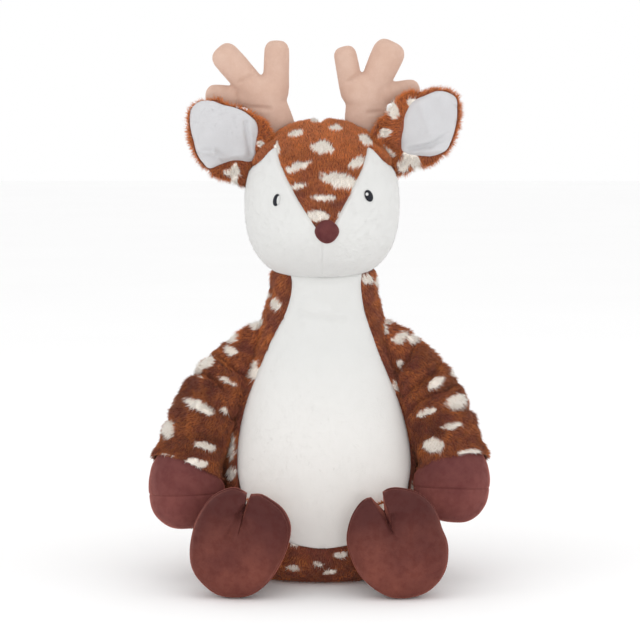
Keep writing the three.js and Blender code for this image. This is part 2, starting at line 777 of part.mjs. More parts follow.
// Zip: a tape that lies on the base panel, its chain in the slot, and a slider with a pull
function placeZip() {
  const box = (fromX, toX, width, fromZ, toZ) => block(
    new THREE.Vector3(fromX, zipMiddle.y - width / 2, fromZ),
    new THREE.Vector3(toX, zipMiddle.y + width / 2, toZ),
  );
  const tapeHalf = zipTapeLength / 2;
  const chainHalf = zipSlotLength / 2 - sewnGap;
  const tape = box(-tapeHalf, tapeHalf, zipTapeWidth, tapeBottom, tapeBottom + zipTapeThickness)
    .add(box(-chainHalf, chainHalf, zipChainWidth, tapeBottom - zipChainDepth,
      tapeBottom + zipTapeThickness));
  place('zip_tape', tape, stuffs.tape);

  const sliderTop = tapeBottom - sewnGap;
  const channelBottom = tapeBottom - zipChainDepth - sewnGap;
  const sliderBottom = channelBottom - zipSliderFloor;
  // The zip is closed: the slider stands at the end of its slot, and its pull lies along the slot.
  const back = sewnGap - zipSlotLength / 2;
  const nose = back + zipSliderLength;
  const channelWidth = zipChainWidth + sewnGap * 2;
  const holeRadius = zipPinRadius + sewnGap;
  const pinHeight = sliderBottom + holeRadius;
  const pinAt = nose - holeRadius * 2;
  const spare = zipPullThickness;
  const slider = box(back, nose, zipSliderWidth, sliderBottom, sliderTop)
    .subtract(box(back - spare, nose + spare, channelWidth, channelBottom, sliderTop + spare))
    .subtract(box(pinAt - holeRadius - sewnGap, nose + spare, channelWidth, sliderBottom - spare,
      channelBottom + spare))
    .subtract(zipBarrel(pinAt, pinHeight, holeRadius, zipSliderWidth + spare));
  place('zip_slider', slider, stuffs.metal);

  // The pull's pin turns in holes in the slider's two cheeks.
  const halfThick = zipPullThickness / 2;
  const pull = box(pinAt, pinAt + zipPullLength, zipPullWidth, pinHeight - halfThick,
    pinHeight + halfThick)
    .add(zipBarrel(pinAt, pinHeight, halfThick, zipPullWidth))
    .add(zipBarrel(pinAt, pinHeight, zipPinRadius, zipSliderWidth - sewnGap * 2));
  place('zip_pull', pull, stuffs.metal);
}

function zipBarrel(atX, atZ, radius, length) {
  const geometry = new THREE.CylinderGeometry(radius, radius, length, smallFacets);
  geometry.translate(atX, zipMiddle.y, atZ);
  return solidOf(geometry);
}

const arms = Object.keys(sides).map(armOf);
const legs = Object.keys(sides).map(legOf);

placeHead();
placeEars();
Object.keys(sides).forEach((side) => place(`antler_${side}`, antlerForm(side), stuffs.tanVelour));
placeTorso([...arms, ...legs]);
[...arms, ...legs].forEach(placeLimb);
const tail = tailForm();
const tailPast = (distance) => beyond(tailRoot.clone().addScaledVector(tailUp, distance), tailUp);
place('tail_top', tail.intersect(tailPast(sewnGap / 2)), stuffs.fur);
place('tail_underside', tail.subtract(tailPast(-sewnGap / 2)), stuffs.whiteFur);
placeZip();

export default group;
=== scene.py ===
"""Dresses the sitting plush deer: spotted pile, smooth white plush, velour hooves and antlers,
stitched eyes, the filling inside and the zip below. Lengths are in millimetres until a mesh is made."""

import math

import bpy
import numpy as np
from bpy.props import FloatProperty, FloatVectorProperty, PointerProperty
from bpy.types import Operator, Panel, PropertyGroup
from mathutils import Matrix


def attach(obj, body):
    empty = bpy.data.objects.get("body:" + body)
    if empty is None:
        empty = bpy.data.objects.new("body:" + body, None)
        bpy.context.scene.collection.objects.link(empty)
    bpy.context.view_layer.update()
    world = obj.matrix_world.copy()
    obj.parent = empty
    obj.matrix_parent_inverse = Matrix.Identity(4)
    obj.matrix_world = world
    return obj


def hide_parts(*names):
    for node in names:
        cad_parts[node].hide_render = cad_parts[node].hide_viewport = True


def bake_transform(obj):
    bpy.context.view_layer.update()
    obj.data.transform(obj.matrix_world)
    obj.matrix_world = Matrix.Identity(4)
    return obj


bl_info = {
    "name": "Plush Deer",
    "version": (1, 0, 0),
    "blender": (4, 5, 0),
    "location": "3D View > Sidebar > Deer",
    "description": "Sews the plush deer's skins, pile and details round its frame",
    "category": "Object",
}

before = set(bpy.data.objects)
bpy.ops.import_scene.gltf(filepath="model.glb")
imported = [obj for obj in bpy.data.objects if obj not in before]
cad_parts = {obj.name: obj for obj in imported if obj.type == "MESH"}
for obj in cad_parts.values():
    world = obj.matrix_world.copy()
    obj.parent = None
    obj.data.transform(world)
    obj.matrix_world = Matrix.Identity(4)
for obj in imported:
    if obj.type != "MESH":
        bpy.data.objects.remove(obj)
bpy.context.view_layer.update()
MM = 0.001
TURN = 2 * math.pi
SIDES = {"left": 1.0, "right": -1.0}

# Sewing: how far a seam draws a panel in beside it, the cells in a millimetre in which points coincide,
# and the strands of white plush on a square millimetre
SEAM_REACH, WELD_CELLS, PLUSH_DENSITY = 3.2, 500, 0.7
# Strands: how far they lean off the skin at least, how deep they stand in it, the size of their clumps
LEAST_LIFT, ROOT_SUNK, CLUMP = 0.18, 0.6, 4.5
# Torso
TORSO_HIGH, TORSO_WIDE, TORSO_DEEP = 240.0, 79.0, 71.0
TORSO_GIRTH = np.array([[0, 0.8], [0.028, 0.905], [0.09, 0.97], [0.19, 1], [0.31, 0.987], [0.43, 0.93],
                        [0.55, 0.832], [0.66, 0.713], [0.76, 0.602], [0.86, 0.51], [1, 0.485]])
BELLY_EDGE = np.array([[0.112, 0], [0.12, 0.2], [0.142, 0.38], [0.182, 0.57], [0.23, 0.715], [0.3, 0.805],
                       [0.37, 0.825], [0.44, 0.805], [0.54, 0.73], [0.64, 0.61], [0.735, 0.49],
                       [0.83, 0.37], [0.9, 0.335], [1, 0.4]])
BASE_SEAM, BASE_FRONT_SEAM = 16.0, 36.0
BELLY_TIP, NECK = BELLY_EDGE[0, 0] * TORSO_HIGH, 223.4
TORSO_MIDDLE = (0.0, 0.0, 100.0)
# How far behind the torso's middle the zip lies
ZIP_BACK = 24.0
# Head
HEAD_AT, HEAD_HIGH, HEAD_WIDE, HEAD_DEEP, HEAD_FORWARD = 278.5, 60.0, 57.5, 54.0, 4.0
HEAD_BACK_SEAM = 8.0
HEAD_LOW_LIE = 0.3
HEAD_MIDDLE = (0.0, -HEAD_FORWARD, HEAD_AT)
CHEEK_COLUMNS = 90
# The gusset's edge: the turn from the front at its end by the side seam, then turns and its heights there
GUSSET_SPREAD = 1.81
GUSSET_HEIGHTS = ([0.0, 0.09, 0.2, 0.3, 0.42, 0.59, 0.75, 0.9, 0.96, 1.1, 1.25, 1.5, 1.9],
                  [258.5, 260.0, 270.0, 279.0, 290.2, 303.7, 313.7, 319.0, 318.2, 310.5, 306.5, 304.5, 304.0])
# Each eye: how far aside and above the head's middle, half width, lean, its dimple's height above the
# head's middle, and the white stitch's place in it with its half sizes
EYES = {"left": (34.1, 5.0, 2.9, 0.4, 4.0, (-1.4, 1.3, 1.1, 1.15)),
        "right": (-33.2, 2.0, 2.5, 0.26, 2.0, (2.2, -0.7, 2.0, 4.0))}
# Limbs: rows of shares along the run, then of the half width and half depth
ARM_ROWS = np.array([[-.34, -.08, -.07, .5, .55], [0, 0, 0, .57, .62], [.28, .13, .1, .65, .7],
                     [.58, .38, .25, .82, .84], [.8, .62, .39, .91, .93], [.92, .79, .54, .96, .98],
                     [.99, .91, .67, .98, 1], [1, .97, .8, 1, 1], [.99, 1, .9, .9, .9],
                     [.98, 1, .965, .64, .66], [.97, 1, 1, .28, .3], [.97, 1, 1.004, 0, 0]])
ARM_WIDE, ARM_DEEP, ARM_FORWARD = 27.0, 24.5, 34.0
ARM_OUT, ARM_DROP = {"left": 45.0, "right": 48.5}, {"left": 127.0, "right": 129.5}
ARM_ROOT = {"left": (51.0, -4.0, 171.0), "right": (-51.0, -4.0, 168.0)}
LEG_ROWS = np.array([[0, .6, .56], [.3, .68, .63], [.58, .75, .71], [.64, .84, .83], [.71, .94, .94],
                     [.79, 1, 1], [.865, .985, .985], [.92, .92, .92], [.96, .8, .8], [.985, .62, .62],
                     [1.0, .4, .4], [1.006, .2, .2], [1.007, 0, 0]])
# Folds of the sleeves: share of the drop, depth, the turn they are centred on, half their spread, slant
ARM_FOLDS = {
    "right": [(0.135, 4.0, 5.2, 1.6, 0.01), (0.235, 4.2, 5.6, 1.5, 0.0), (0.34, 3.2, 4.1, 1.0, 0.02),
              (0.45, 2.6, 5.8, 1.1, -0.01), (0.51, 2.0, 4.6, 1.1, 0.01)],
    "left": [(0.1, 3.2, 4.4, 1.5, 0.02), (0.23, 3.6, 4.3, 1.5, 0.025), (0.33, 3.8, 4.6, 1.7, 0.01),
             (0.42, 2.6, 3.7, 1.2, 0.0), (0.5, 2.2, 4.9, 1.0, 0.02)],
}
# The outline of each foot round its middle, with no cleft
FOOT_EDGE = {
    "right": [(-4.9, 39.3), (-12, 37), (-19, 32.6), (-26, 24.2), (-33.8, 5.9), (-35.6, -6.8), (-33, -20.8),
              (-24, -32.1), (-14.8, -38), (-0.7, -39.4), (9.1, -37.2), (19, -30.3), (28.8, -16.2), (35.4, -1),
              (36.6, 11.5), (31.9, 22.8), (23.2, 30.6), (13.4, 36.4), (5, 38.6)],
    "left": [(-6.3, 39.4), (7.7, 38.4), (20.4, 32.4), (28.6, 21.1), (32.4, 9.4), (35.2, 1.4), (36.2, -6),
             (34.2, -21.1), (24.6, -33.1), (14.8, -38), (-3.5, -39.2), (-14.4, -34), (-26, -23.5),
             (-32.8, -9.8), (-35.9, 1.4), (-34.8, 12.7), (-30.3, 23.9), (-22.4, 33), (-14.5, 37.5)],
}
# Each cleft: its mouth, its point and half its width at the mouth
CLEFT = {"left": ((-16.0, 35.5), (-10.2, 22.6), 5.0), "right": ((10.6, 39.2), (6.0, 24.6), 1.9)}
# Creases in the sole: start, end, depth, width
SOLE_CREASES = {
    "left": [((-10.6, 24.2), (-7.2, 15.5), 5.5, 2.4), ((-7.2, 15.5), (-4.8, 8.6), 4.4, 2.2),
             ((-4.0, 20.5), (-4.8, 9.6), 3.2, 1.8), ((-4.8, 9.6), (6.0, 0.0), 2.0, 4.5)],
    "right": [((6.2, 25.6), (1.4, 18.9), 6.0, 2.2), ((1.4, 18.9), (-5.3, 5.0), 4.2, 3.0),
              ((3.2, 20.0), (9.5, 8.0), 3.4, 2.8), ((1.0, 19.0), (-11.5, 15.0), 3.2, 4.5)],
}
SOLE_HOLLOW = {"left": (-9.0, 13.0, 3.6), "right": (-1.6, 17.0, 4.8)}
FOOT_MIDDLE_HIGH = 40.0
CLEFT_BOTTOM = 0.3
LEG_LONG, FOOT_WIDE, FOOT_HIGH = 79.0, 37.2, 39.6
LEG_SPLAY = {"left": 4.0, "right": 11.0}
CUFF_DOWN, SOLE_DOWN = 0.67, 0.81
HIP = (50.0, -47.0, 36.0)
# Ears, antlers and tail
EAR_ROWS = np.array([[0, .2], [.06, .3], [.18, .62], [.36, .9], [.56, 1], [.76, .91], [.92, .6], [.985, .3],
                     [1, 0]])
EAR_ROOT, EAR_LONG, EAR_HALF = (50.0, -3.0, 300.0), 70.0, 30.0
EAR_RISE = {"left": 52.0, "right": 47.0}
ANTLER_ROOT = {"left": (31.5, 9.0, 330.0), "right": (-34.5, 9.0, 330.0)}
ANTLER_HIGH, ANTLER_WIDE, ANTLER_DEEP = 67.0, 16.0, 9.5
ANTLER_BRANCHES = {
    "left": [[0, 0, .03, .36, 1, .96, 0], [-.13, .42, -.205, .81, .58, .55, 0],
             [.07, .42, .25, .82, .64, .8, 0], [.2, .41, .5, .455, .5, .5, .12],
             [-.02, .34, 0, .39, 1, .98, 0]],
    "right": [[0, 0, .12, .36, .98, .92, 0], [0, .42, -.01, .86, .62, .6, 0],
              [.23, .45, .535, .8, .66, .69, 0], [.28, .37, .67, .4, .48, .5, .12],
              [.08, .34, .1, .38, .96, .94, 0]],
}
# Creases of the antlers: start and end, out and up as shares of their height
ANTLER_FOLDS = {"left": [(-0.2, 0.54, -0.04, 0.645), (0.02, 0.2, 0.2, 0.22)],
                "right": [(0.21, 0.64, 0.41, 0.54), (0.04, 0.24, 0.4, 0.28), (0.44, 0.45, 0.4, 0.28)]}
TAIL_ROOT = (0.0, 67.0, 46.0)
TAIL_ROWS = np.array([[0, .5], [.25, .72], [.5, .95], [.75, .85], [.92, .5], [1, .2], [1.01, 0]])

# Printed spots: where the middle lies, half width, half height, tilt in degrees seen from the front
GUSSET_SPOTS = [(-19, -30, 328, 6, 2.6, 14), (10, -28, 332, 4.5, 2.6, 0), (0, -46, 318, 8, 5, -4),
                (-18, -51, 304, 9.5, 2.8, 20), (32, -26, 323, 6, 3.4, -28), (25, -46, 307, 6, 3.4, 20),
                (13, -56, 294.5, 14.5, 5.2, -12), (-17, -56, 290, 6.5, 2, 12), (1.4, -61, 282, 9, 2, 0),
                (-3, -67, 269, 8, 4, 0), (12, -65, 269, 1.6, 2.4, 0), (-4, -9, 338, 5, 3, 0),
                (-33, -33, 316.5, 2.4, 5, 8)]
TORSO_SPOTS = [(-51, -24, 154, 5, 7, 0), (-34, -21, 203, 4, 5, 10), (-67, -29, 97, 3.5, 9, 0),
               (-67, -34, 78, 4, 4.5, 0), (33.5, -19, 221, 4.5, 4, -10), (56.5, -23, 143, 5, 4, 0),
               (68, -15, 116, 5, 4.5, 10), (70, -32, 68.5, 4, 5, 0)]
BASE_SPOTS = [(-20, -63, 12, 5, 2.6, 0), (-3, -67, 16, 3.6, 1.8, -20), (13, -68, 22.6, 4.5, 2.2, 0),
              (6, -65, 9.4, 5, 2, 10), (-20, -67.5, 31, 3, 2, 0)]
ARM_SPOTS = {
    "right": [(-69, -28, 169, 6.5, 4, -32), (-84, -28, 161.5, 9, 5, 38), (-89.5, -42, 150, 8, 2, -8),
              (-68, -42, 146, 8, 2.6, -28), (-91, -50, 130, 15, 4.2, -24), (-71, -48, 125, 5, 2.8, -45),
              (-113, -40, 112, 5, 7.5, 8), (-85, -56, 100.5, 8.5, 2.8, -16), (-114, -46, 90, 7, 4.8, 20),
              (-93.5, -58, 88, 10, 3.6, -4)],
    "left": [(62, -26, 181, 12.5, 5.8, 35), (57, -34, 158, 3.6, 5, 0), (84, -44, 146, 8.5, 3.6, 28),
             (100, -44, 132, 9.5, 6.3, 8), (76, -50, 124.5, 8, 2.4, 18), (94, -54, 115, 9, 2.4, 10),
             (80, -56, 101.5, 8.5, 6, 10), (108, -50, 96, 8.5, 2.6, -4)],
}
EAR_SPOTS = {"right": [(-65.5, -4, 299, 3.6, 9, -6), (-45, -4, 320, 4, 3, 0)],
             "left": [(53.5, -4, 345.6, 4.5, 7.5, 8), (60.3, -4, 305, 4, 5.5, 0), (49, -4, 316, 7, 2.4, -30)]}
# Linings as the photograph shows them, round their edge
LINING_EDGE = {
    "right": [(-95.2, 348.6), (-90.4, 351.9), (-83, 352.6), (-74.1, 349.7), (-66, 347.8), (-58.6, 344.9),
              (-52.7, 340.8), (-49, 337.1), (-47.5, 331.6), (-48.6, 323.4), (-49.4, 316), (-49.6, 309.5),
              (-53.2, 307), (-60.9, 307.5), (-69.8, 307), (-77.2, 304.6), (-83.6, 302.5), (-88.4, 306.8),
              (-92.8, 313.8), (-95, 322), (-97.2, 330.8), (-97.9, 339.7), (-97.1, 345.6)],
    "left": [(75.9, 356.7), (81.5, 358.9), (88.1, 359.6), (94.8, 357.8), (98.9, 354.9), (100, 347.1),
             (99.7, 338.2), (97.9, 329.4), (95.3, 322), (92.4, 316.4), (87.6, 313.4), (82.4, 311.6),
             (75.7, 311.2), (68.3, 311.6), (62.8, 312.8), (58.8, 314.8), (58, 319.7), (58, 324.9),
             (58.6, 330.8), (59.7, 337.5), (62.6, 344.5), (66.3, 350.8), (70.7, 354.5)],
}
# The furred leaf behind it, its root inside the head
EAR_EDGE = {
    "right": [(-95, 348.2), (-89.8, 351), (-83.1, 352.4), (-77.9, 352.6), (-72.7, 350), (-66.1, 348.2),
              (-58.7, 345.6), (-52.7, 342.7), (-48.3, 339.3), (-43.8, 337.5), (-40.1, 333), (-37.2, 326.4),
              (-37.2, 317.5), (-41.7, 308.6), (-44.6, 299.6), (-49.1, 293), (-54.3, 290.4), (-58.8, 290.4),
              (-63.3, 292.1), (-69.2, 294), (-75.9, 295.6), (-80, 297.6), (-83, 301), (-87, 304.4),
              (-91.2, 308.8), (-94.4, 315), (-97, 321.9), (-98.4, 330.8), (-98.4, 339.7), (-97.3, 345.2)],
    "left": [(71.9, 357.4), (76.4, 358.3), (81.6, 360), (88.3, 360.3), (94.9, 358.5), (99.6, 355.3),
             (101.1, 347.1), (101, 338.2), (99.2, 329.3), (96.6, 321.9), (92.9, 316), (89.2, 312.9),
             (85.5, 309.4), (81.1, 306.4), (75.9, 304.6), (69.2, 303.8), (65.5, 301.4), (61, 299.2),
             (57.3, 297.7), (53.5, 299.6), (47.6, 302.6), (40.1, 308.6), (35.7, 317.5), (37.1, 327.1),
             (41.6, 335.2), (47.5, 340.4), (51.9, 347.1), (57.1, 353.6), (62.3, 357.2), (67.5, 358.4)],
}
# Folds of the linings: start, end, height of the ridge, width
LINING_FOLDS = {
    "right": [((-91.0, 314.5), (-80.0, 314.5), 3.2, 2.2), ((-80.0, 314.5), (-71.0, 308.5), 3.2, 2.2),
              ((-56.5, 336.0), (-53.0, 314.0), -2.4, 1.8), ((-76.0, 311.0), (-58.0, 312.0), 2.2, 3.0)],
    "left": [((64.0, 316.0), (80.0, 319.5), -3.2, 1.8), ((80.0, 319.5), (93.0, 327.0), -2.6, 1.7),
             ((64.0, 313.6), (88.0, 315.4), 2.4, 2.2), ((72.0, 352.0), (80.0, 330.0), 1.6, 4.0)],
}
# Each lamp: its place, size and power
LAMPS = (("key", (-1.8, -0.9, 0.75), 1.2, 4.4), ("fill", (1.9, -0.7, 0.65), 1.2, 3.8),
         ("top", (0.1, 0.2, 2.2), 1.4, 2.5), ("front", (0.1, -1.5, 0.14), 0.38, 4.5))


def ease(value, start, end):
    """0 before start, 1 after end, and between them 3t squared minus 2t cubed of the share t passed."""
    t = np.clip((np.asarray(value, float) - start) / (end - start), 0, 1)
    return t * t * (3 - 2 * t)


def bell(off, width):
    """1 where off is 0, and e to the minus square of off over the width elsewhere."""
    return np.exp(-(off / width) ** 2)


def wrapped(angle):
    """The same direction as an angle from minus pi to pi."""
    return (angle + math.pi) % TURN - math.pi


def cells(downs, overs):
    """Two grids of numbers: the first changes from row to row, the second from column to column."""
    return np.meshgrid(downs, overs, indexing="ij")


def around(count, start=0.0):
    return np.linspace(start, start + TURN, count, endpoint=False)


def by_line(flat, start, end):
    """The share of a short line at which each point lies beside it, and the distance from it."""
    start, way = np.array(start), np.array(end) - np.array(start)
    run = np.clip(((flat - start) @ way) / (way @ way), 0, 1)
    return run, np.linalg.norm(flat - start - run[..., None] * way, axis=-1)


def flow(at, xs, ys):
    """The smooth curve through the points (xs, ys): on each span the cubic that has the points' own
    slopes, each slope being the mean slope over the two spans beside its point."""
    xs, ys = np.asarray(xs, float), np.asarray(ys, float)
    slope = np.gradient(ys, xs)
    at = np.clip(at, xs[0], xs[-1])
    k = np.clip(np.searchsorted(xs, at, side="right") - 1, 0, len(xs) - 2)
    span = xs[k + 1] - xs[k]
    t = (at - xs[k]) / span
    return ((1 + 2 * t) * (1 - t) ** 2 * ys[k] + t * (1 - t) ** 2 * span * slope[k]
            + t * t * (3 - 2 * t) * ys[k + 1] + t * t * (t - 1) * span * slope[k + 1])


def noise(points, size, seed=0):
    """Smooth noise from -1 to 1: each corner of a lattice of the given cell size has a hashed value,
    and a point blends its cell's eight corners by smooth steps."""
    p = np.asarray(points, float) / size + 1000.0
    cell = np.floor(p).astype(np.int64)
    f = p - cell
    f = f * f * (3 - 2 * f)
    total = np.zeros(p.shape[:-1])
    for corner in range(8):
        step = np.array([corner & 1, corner >> 1 & 1, corner >> 2 & 1])
        n = ((cell + step) * np.array([374761393, 668265263, 2147483647])).sum(-1) + seed * 69069
        n = (n ^ (n >> 13)) * 1274126177
        value = ((n ^ (n >> 16)) & 65535) / 32767.5 - 1
        total += value * np.where(step, f, 1 - f).prod(-1)
    return total


def unit(vectors):
    return vectors / np.maximum(np.linalg.norm(vectors, axis=-1, keepdims=True), 1e-9)


def normals_of(grid, closed, centre):
    """The cross product of a grid's row and column directions, turned away from the given centre.
    At a pole, where it vanishes, the direction from the centre serves."""
    down = np.gradient(grid, axis=0)
    if closed:
        over = np.roll(grid, -1, axis=1) - np.roll(grid, 1, axis=1)
    else:
        over = np.gradient(grid, axis=1)
    cross = np.cross(over, down)
    away = unit(grid - np.asarray(centre, float))
    size = np.linalg.norm(cross, axis=-1, keepdims=True)
    if (cross * away).sum() < 0:
        cross = -cross
    return unit(np.where(size < 1e-3, away, cross / np.maximum(size, 1e-9)))


def edge_distance(grid):
    """How far each grid point lies from the patch's edges, counted along its row and its column."""
    def both_ways(axis):
        length = np.linalg.norm(np.diff(grid, axis=axis), axis=-1)
        pad = [(0, 0), (0, 0)]
        pad[axis] = (1, 0)
        run = np.pad(np.cumsum(length, axis=axis), pad)
        return np.minimum(run, np.take(run, [-1], axis=axis) - run)
    return np.minimum(both_ways(0), both_ways(1))


def grid_quads(rows, columns, closed):
    wide = columns if closed else columns - 1
    i, j = cells(np.arange(rows - 1), np.arange(wide))
    k = (j + 1) % columns
    return np.stack([i * columns + j, i * columns + k, (i + 1) * columns + k, (i + 1) * columns + j],
                    -1).reshape(-1, 4)


def shell(outer, inner, closed):
    """Two like grids, one within the other, joined along their open edges into one closed skin."""
    rows, columns = outer.shape[:2]
    count = rows * columns
    quads = grid_quads(rows, columns, closed)
    index = np.arange(count).reshape(rows, columns)
    if closed:
        loops = [np.append(index[0], index[0, 0]), np.append(index[-1], index[-1, 0])[::-1]]
    else:
        loops = [np.concatenate([index[0], index[1:, -1], index[-1, -2::-1], index[-2::-1, 0]])]
    rims = [np.stack([loop[1:], loop[:-1], loop[:-1] + count, loop[1:] + count], -1) for loop in loops]
    points = np.concatenate([outer.reshape(-1, 3), inner.reshape(-1, 3)])
    return weld(points, np.concatenate([quads, quads[:, ::-1] + count, *rims]))


def solid(grid):
    """One grid whose first and last rows are poles, as a closed form."""
    return weld(grid.reshape(-1, 3), grid_quads(grid.shape[0], grid.shape[1], True))


def to_middle(ring, share, shift=(0, 0, 0)):
    """Rings that shrink from the given ring to its middle as the share goes from 1 to 0, moved a little."""
    share = share[:, None, None]
    return ring * share + ring.mean(1, keepdims=True) * (1 - share) + np.array(shift)


def poled(grid, steps=10):
    """Closes a tube's two ends with rings that shrink to a point."""
    share = np.linspace(0, 1, steps)
    return np.concatenate([to_middle(grid[:1], share), grid[1:-1], to_middle(grid[-1:], share[::-1])])


def weld(points, quads):
    """Merges points that coincide, so poles close, drops what has no area left and turns all faces
    outward by the sign of the volume they enclose."""
    key = np.round(points * WELD_CELLS).astype(np.int64)
    _, first, back = np.unique(key, axis=0, return_index=True, return_inverse=True)
    quads = back.reshape(-1)[quads]
    same = quads == np.roll(quads, -1, axis=1)
    fours = quads[same.sum(1) == 0]
    pinched = quads[same.sum(1) == 1]
    threes = pinched[~same[same.sum(1) == 1]].reshape(-1, 3)
    points = points[first]
    tris = np.concatenate([fours[:, [0, 1, 2]], fours[:, [0, 2, 3]], threes])
    a, b, c = points[tris[:, 0]], points[tris[:, 1]], points[tris[:, 2]]
    if (np.cross(a, b) * c).sum() < 0:
        fours, threes = fours[:, ::-1], threes[:, ::-1]
    return points, [fours, threes]


def scatter(grid, closed, density, normals, rng):
    """Random points over a grid with the given number in each square millimetre: each quad gets its
    share by area, and a point blends its quad's corners. Returns places and normals."""
    quads = grid_quads(*grid.shape[:2], closed)
    corners, corner_normals = (sheet.reshape(-1, 3)[quads] for sheet in (grid, normals))
    a, b, c, d = (corners[:, k] for k in range(4))
    area = np.linalg.norm(np.cross(c - a, d - b), axis=-1) / 2
    count = int(area.sum() * density)
    pick = rng.choice(len(quads), size=count, p=area / area.sum())
    u, v = rng.random((2, count, 1))
    weights = [(1 - u) * (1 - v), u * (1 - v), u * v, (1 - u) * v]
    place, facing = (sum(w * sheet[pick, k] for k, w in enumerate(weights))
                     for sheet in (corners, corner_normals))
    return place, unit(facing)


def strands(roots, normals, comb, length, width, lift, rng, tangle):
    """Pile as closed spikes of four faces: each stands on a small triangle sunk in the skin. It runs
    along the comb's tangent plus a share of the normal, bent aside by clumped and single noise."""
    count = len(roots)
    along = unit(comb - (comb * normals).sum(-1, keepdims=True) * normals)
    stir = np.stack([noise(roots, CLUMP, seed) for seed in (11, 12, 13)], -1)
    fine = rng.normal(size=(count, 3))
    heading = along + lift * normals + tangle * 1.5 * stir + tangle * 0.5 * fine
    low = (heading * normals).sum(-1, keepdims=True)
    heading = unit(heading + normals * np.maximum(LEAST_LIFT - low, 0))
    across = unit(np.cross(heading, normals + 1e-3))
    other = np.cross(heading, across)
    long = length * (0.65 + 0.6 * rng.random((count, 1))) * (1 + 0.22 * stir[:, :1])
    wide = width * (0.7 + 0.6 * rng.random((count, 1)))
    angle = TURN * (rng.random((count, 1)) + np.arange(3) / 3)[..., None]
    ring = (roots - heading * ROOT_SUNK)[:, None] + wide[:, None] * (
        np.cos(angle) * across[:, None] + np.sin(angle) * other[:, None])
    tip = (roots + heading * long)[:, None]
    start = np.arange(count)[:, None, None] * 4
    faces = (start + np.array([[0, 1, 3], [1, 2, 3], [2, 0, 3], [0, 2, 1]])).reshape(-1, 3)
    return np.concatenate([ring, tip], 1).reshape(-1, 3), faces


def spot_share(points, spots, ragged=0.42):
    """How white each point is, and how near it lies to a spot. A spot is an ellipse in its own tilted
    axes, flattened front to back, and noise makes its edge uneven."""
    nearest = np.full(len(points), 9.0)
    for x, y, z, half_wide, half_high, tilt in spots:
        c, s = math.cos(math.radians(tilt)), math.sin(math.radians(tilt))
        dx, dy, dz = points[:, 0] - x, points[:, 1] - y, points[:, 2] - z
        q = ((c * dx + s * dz) / half_wide) ** 2 + ((c * dz - s * dx) / half_high) ** 2 + (dy / 16) ** 2
        nearest = np.minimum(nearest, np.sqrt(q))
    nearest = nearest + ragged * 0.5 * noise(points, 1.6, 5) + ragged * 0.4 * noise(points, 4, 6)
    return 1 - ease(nearest, 0.88, 1.08), 1 - ease(nearest, 0.95, 1.9)


def strewn(grid, count, seed, clear=None):
    """Random spots on a grid for the places the photograph doesn't show: ellipses at spread points."""
    rng = np.random.default_rng(seed)
    flat = grid.reshape(-1, 3)
    kept = []
    for row in flat[rng.permutation(len(flat))]:
        if clear is not None and not clear(row):
            continue
        if all(np.linalg.norm(row - np.array(k[:3])) > 19 for k in kept):
            kept.append((*row, 4 + 4 * rng.random(), 2.6 + 2 * rng.random(), rng.uniform(-30, 30)))
        if len(kept) == count:
            break
    return kept


def to_object(name, points, faces, pile=None):
    """A mesh object in metres from points in millimetres, lists of faces and one colour per point."""
    mesh = bpy.data.meshes.new(name)
    faces = [f for f in faces if len(f)]
    corners = np.concatenate([f.reshape(-1) for f in faces])
    sizes = np.concatenate([np.full(len(f), f.shape[1]) for f in faces])
    mesh.vertices.add(len(points))
    mesh.vertices.foreach_set("co", (points * MM).astype(np.float32).ravel())
    mesh.loops.add(len(corners))
    mesh.loops.foreach_set("vertex_index", corners.astype(np.int32))
    mesh.polygons.add(len(sizes))
    mesh.polygons.foreach_set("loop_start", (np.cumsum(sizes) - sizes).astype(np.int32))
    mesh.update(calc_edges=True)
    mesh.validate()
    mesh.shade_smooth()
    if pile is not None:
        layer = mesh.attributes.new("pile", "FLOAT_COLOR", "POINT")
        layer.data.foreach_set("color", pile.astype(np.float32).ravel())
    piece = bpy.data.objects.new(name, mesh)
    bpy.context.scene.collection.objects.link(piece)
    return piece


def furry(name, skin, cover, comb, spots, length, width, lift, seed, floor=None, tangle=0.42,
          keep=None, length_of=None, rust_and_rim_light=None):
    """A skin with its pile, which covers a grid at a density. The colour layer holds the share along a strand,
    a random lot, the whiteness and the nearness to a spot, which a painted rim light raises where one is given."""
    rng = np.random.default_rng(seed)
    points, faces = skin
    roots, normals = scatter(*cover, rng)
    if keep is not None:
        held = keep(roots)
        roots, normals = roots[held], normals[held]
    reach = length if length_of is None else (length * length_of(roots))[:, None]
    white, halo_and_rim_light = spot_share(roots, spots)
    if rust_and_rim_light is not None:
        halo_and_rim_light = np.maximum(halo_and_rim_light, rust_and_rim_light(roots))
    hair, hair_faces = strands(roots, normals, comb(roots), reach, width, lift, rng, tangle)
    if floor is not None:
        hair[:, 2] = np.maximum(hair[:, 2], floor)
    count = len(points)
    lot = np.repeat(rng.random(len(roots)), 4)
    # The skin and each strand's root take low shares along, so they get the root's painted shade; the tips take
    # the whole share.
    rise = np.tile(np.array([0.05, 0.05, 0.05, 1.0]), len(roots))
    pile = np.concatenate([
        np.stack([np.full(count, 0.1), np.full(count, 0.5), *spot_share(points, spots)], -1),
        np.stack([rise, lot, np.repeat(white, 4), np.repeat(halo_and_rim_light, 4)], -1)])
    return to_object(name, np.concatenate([points, hair]), [*faces, hair_faces + count], pile)


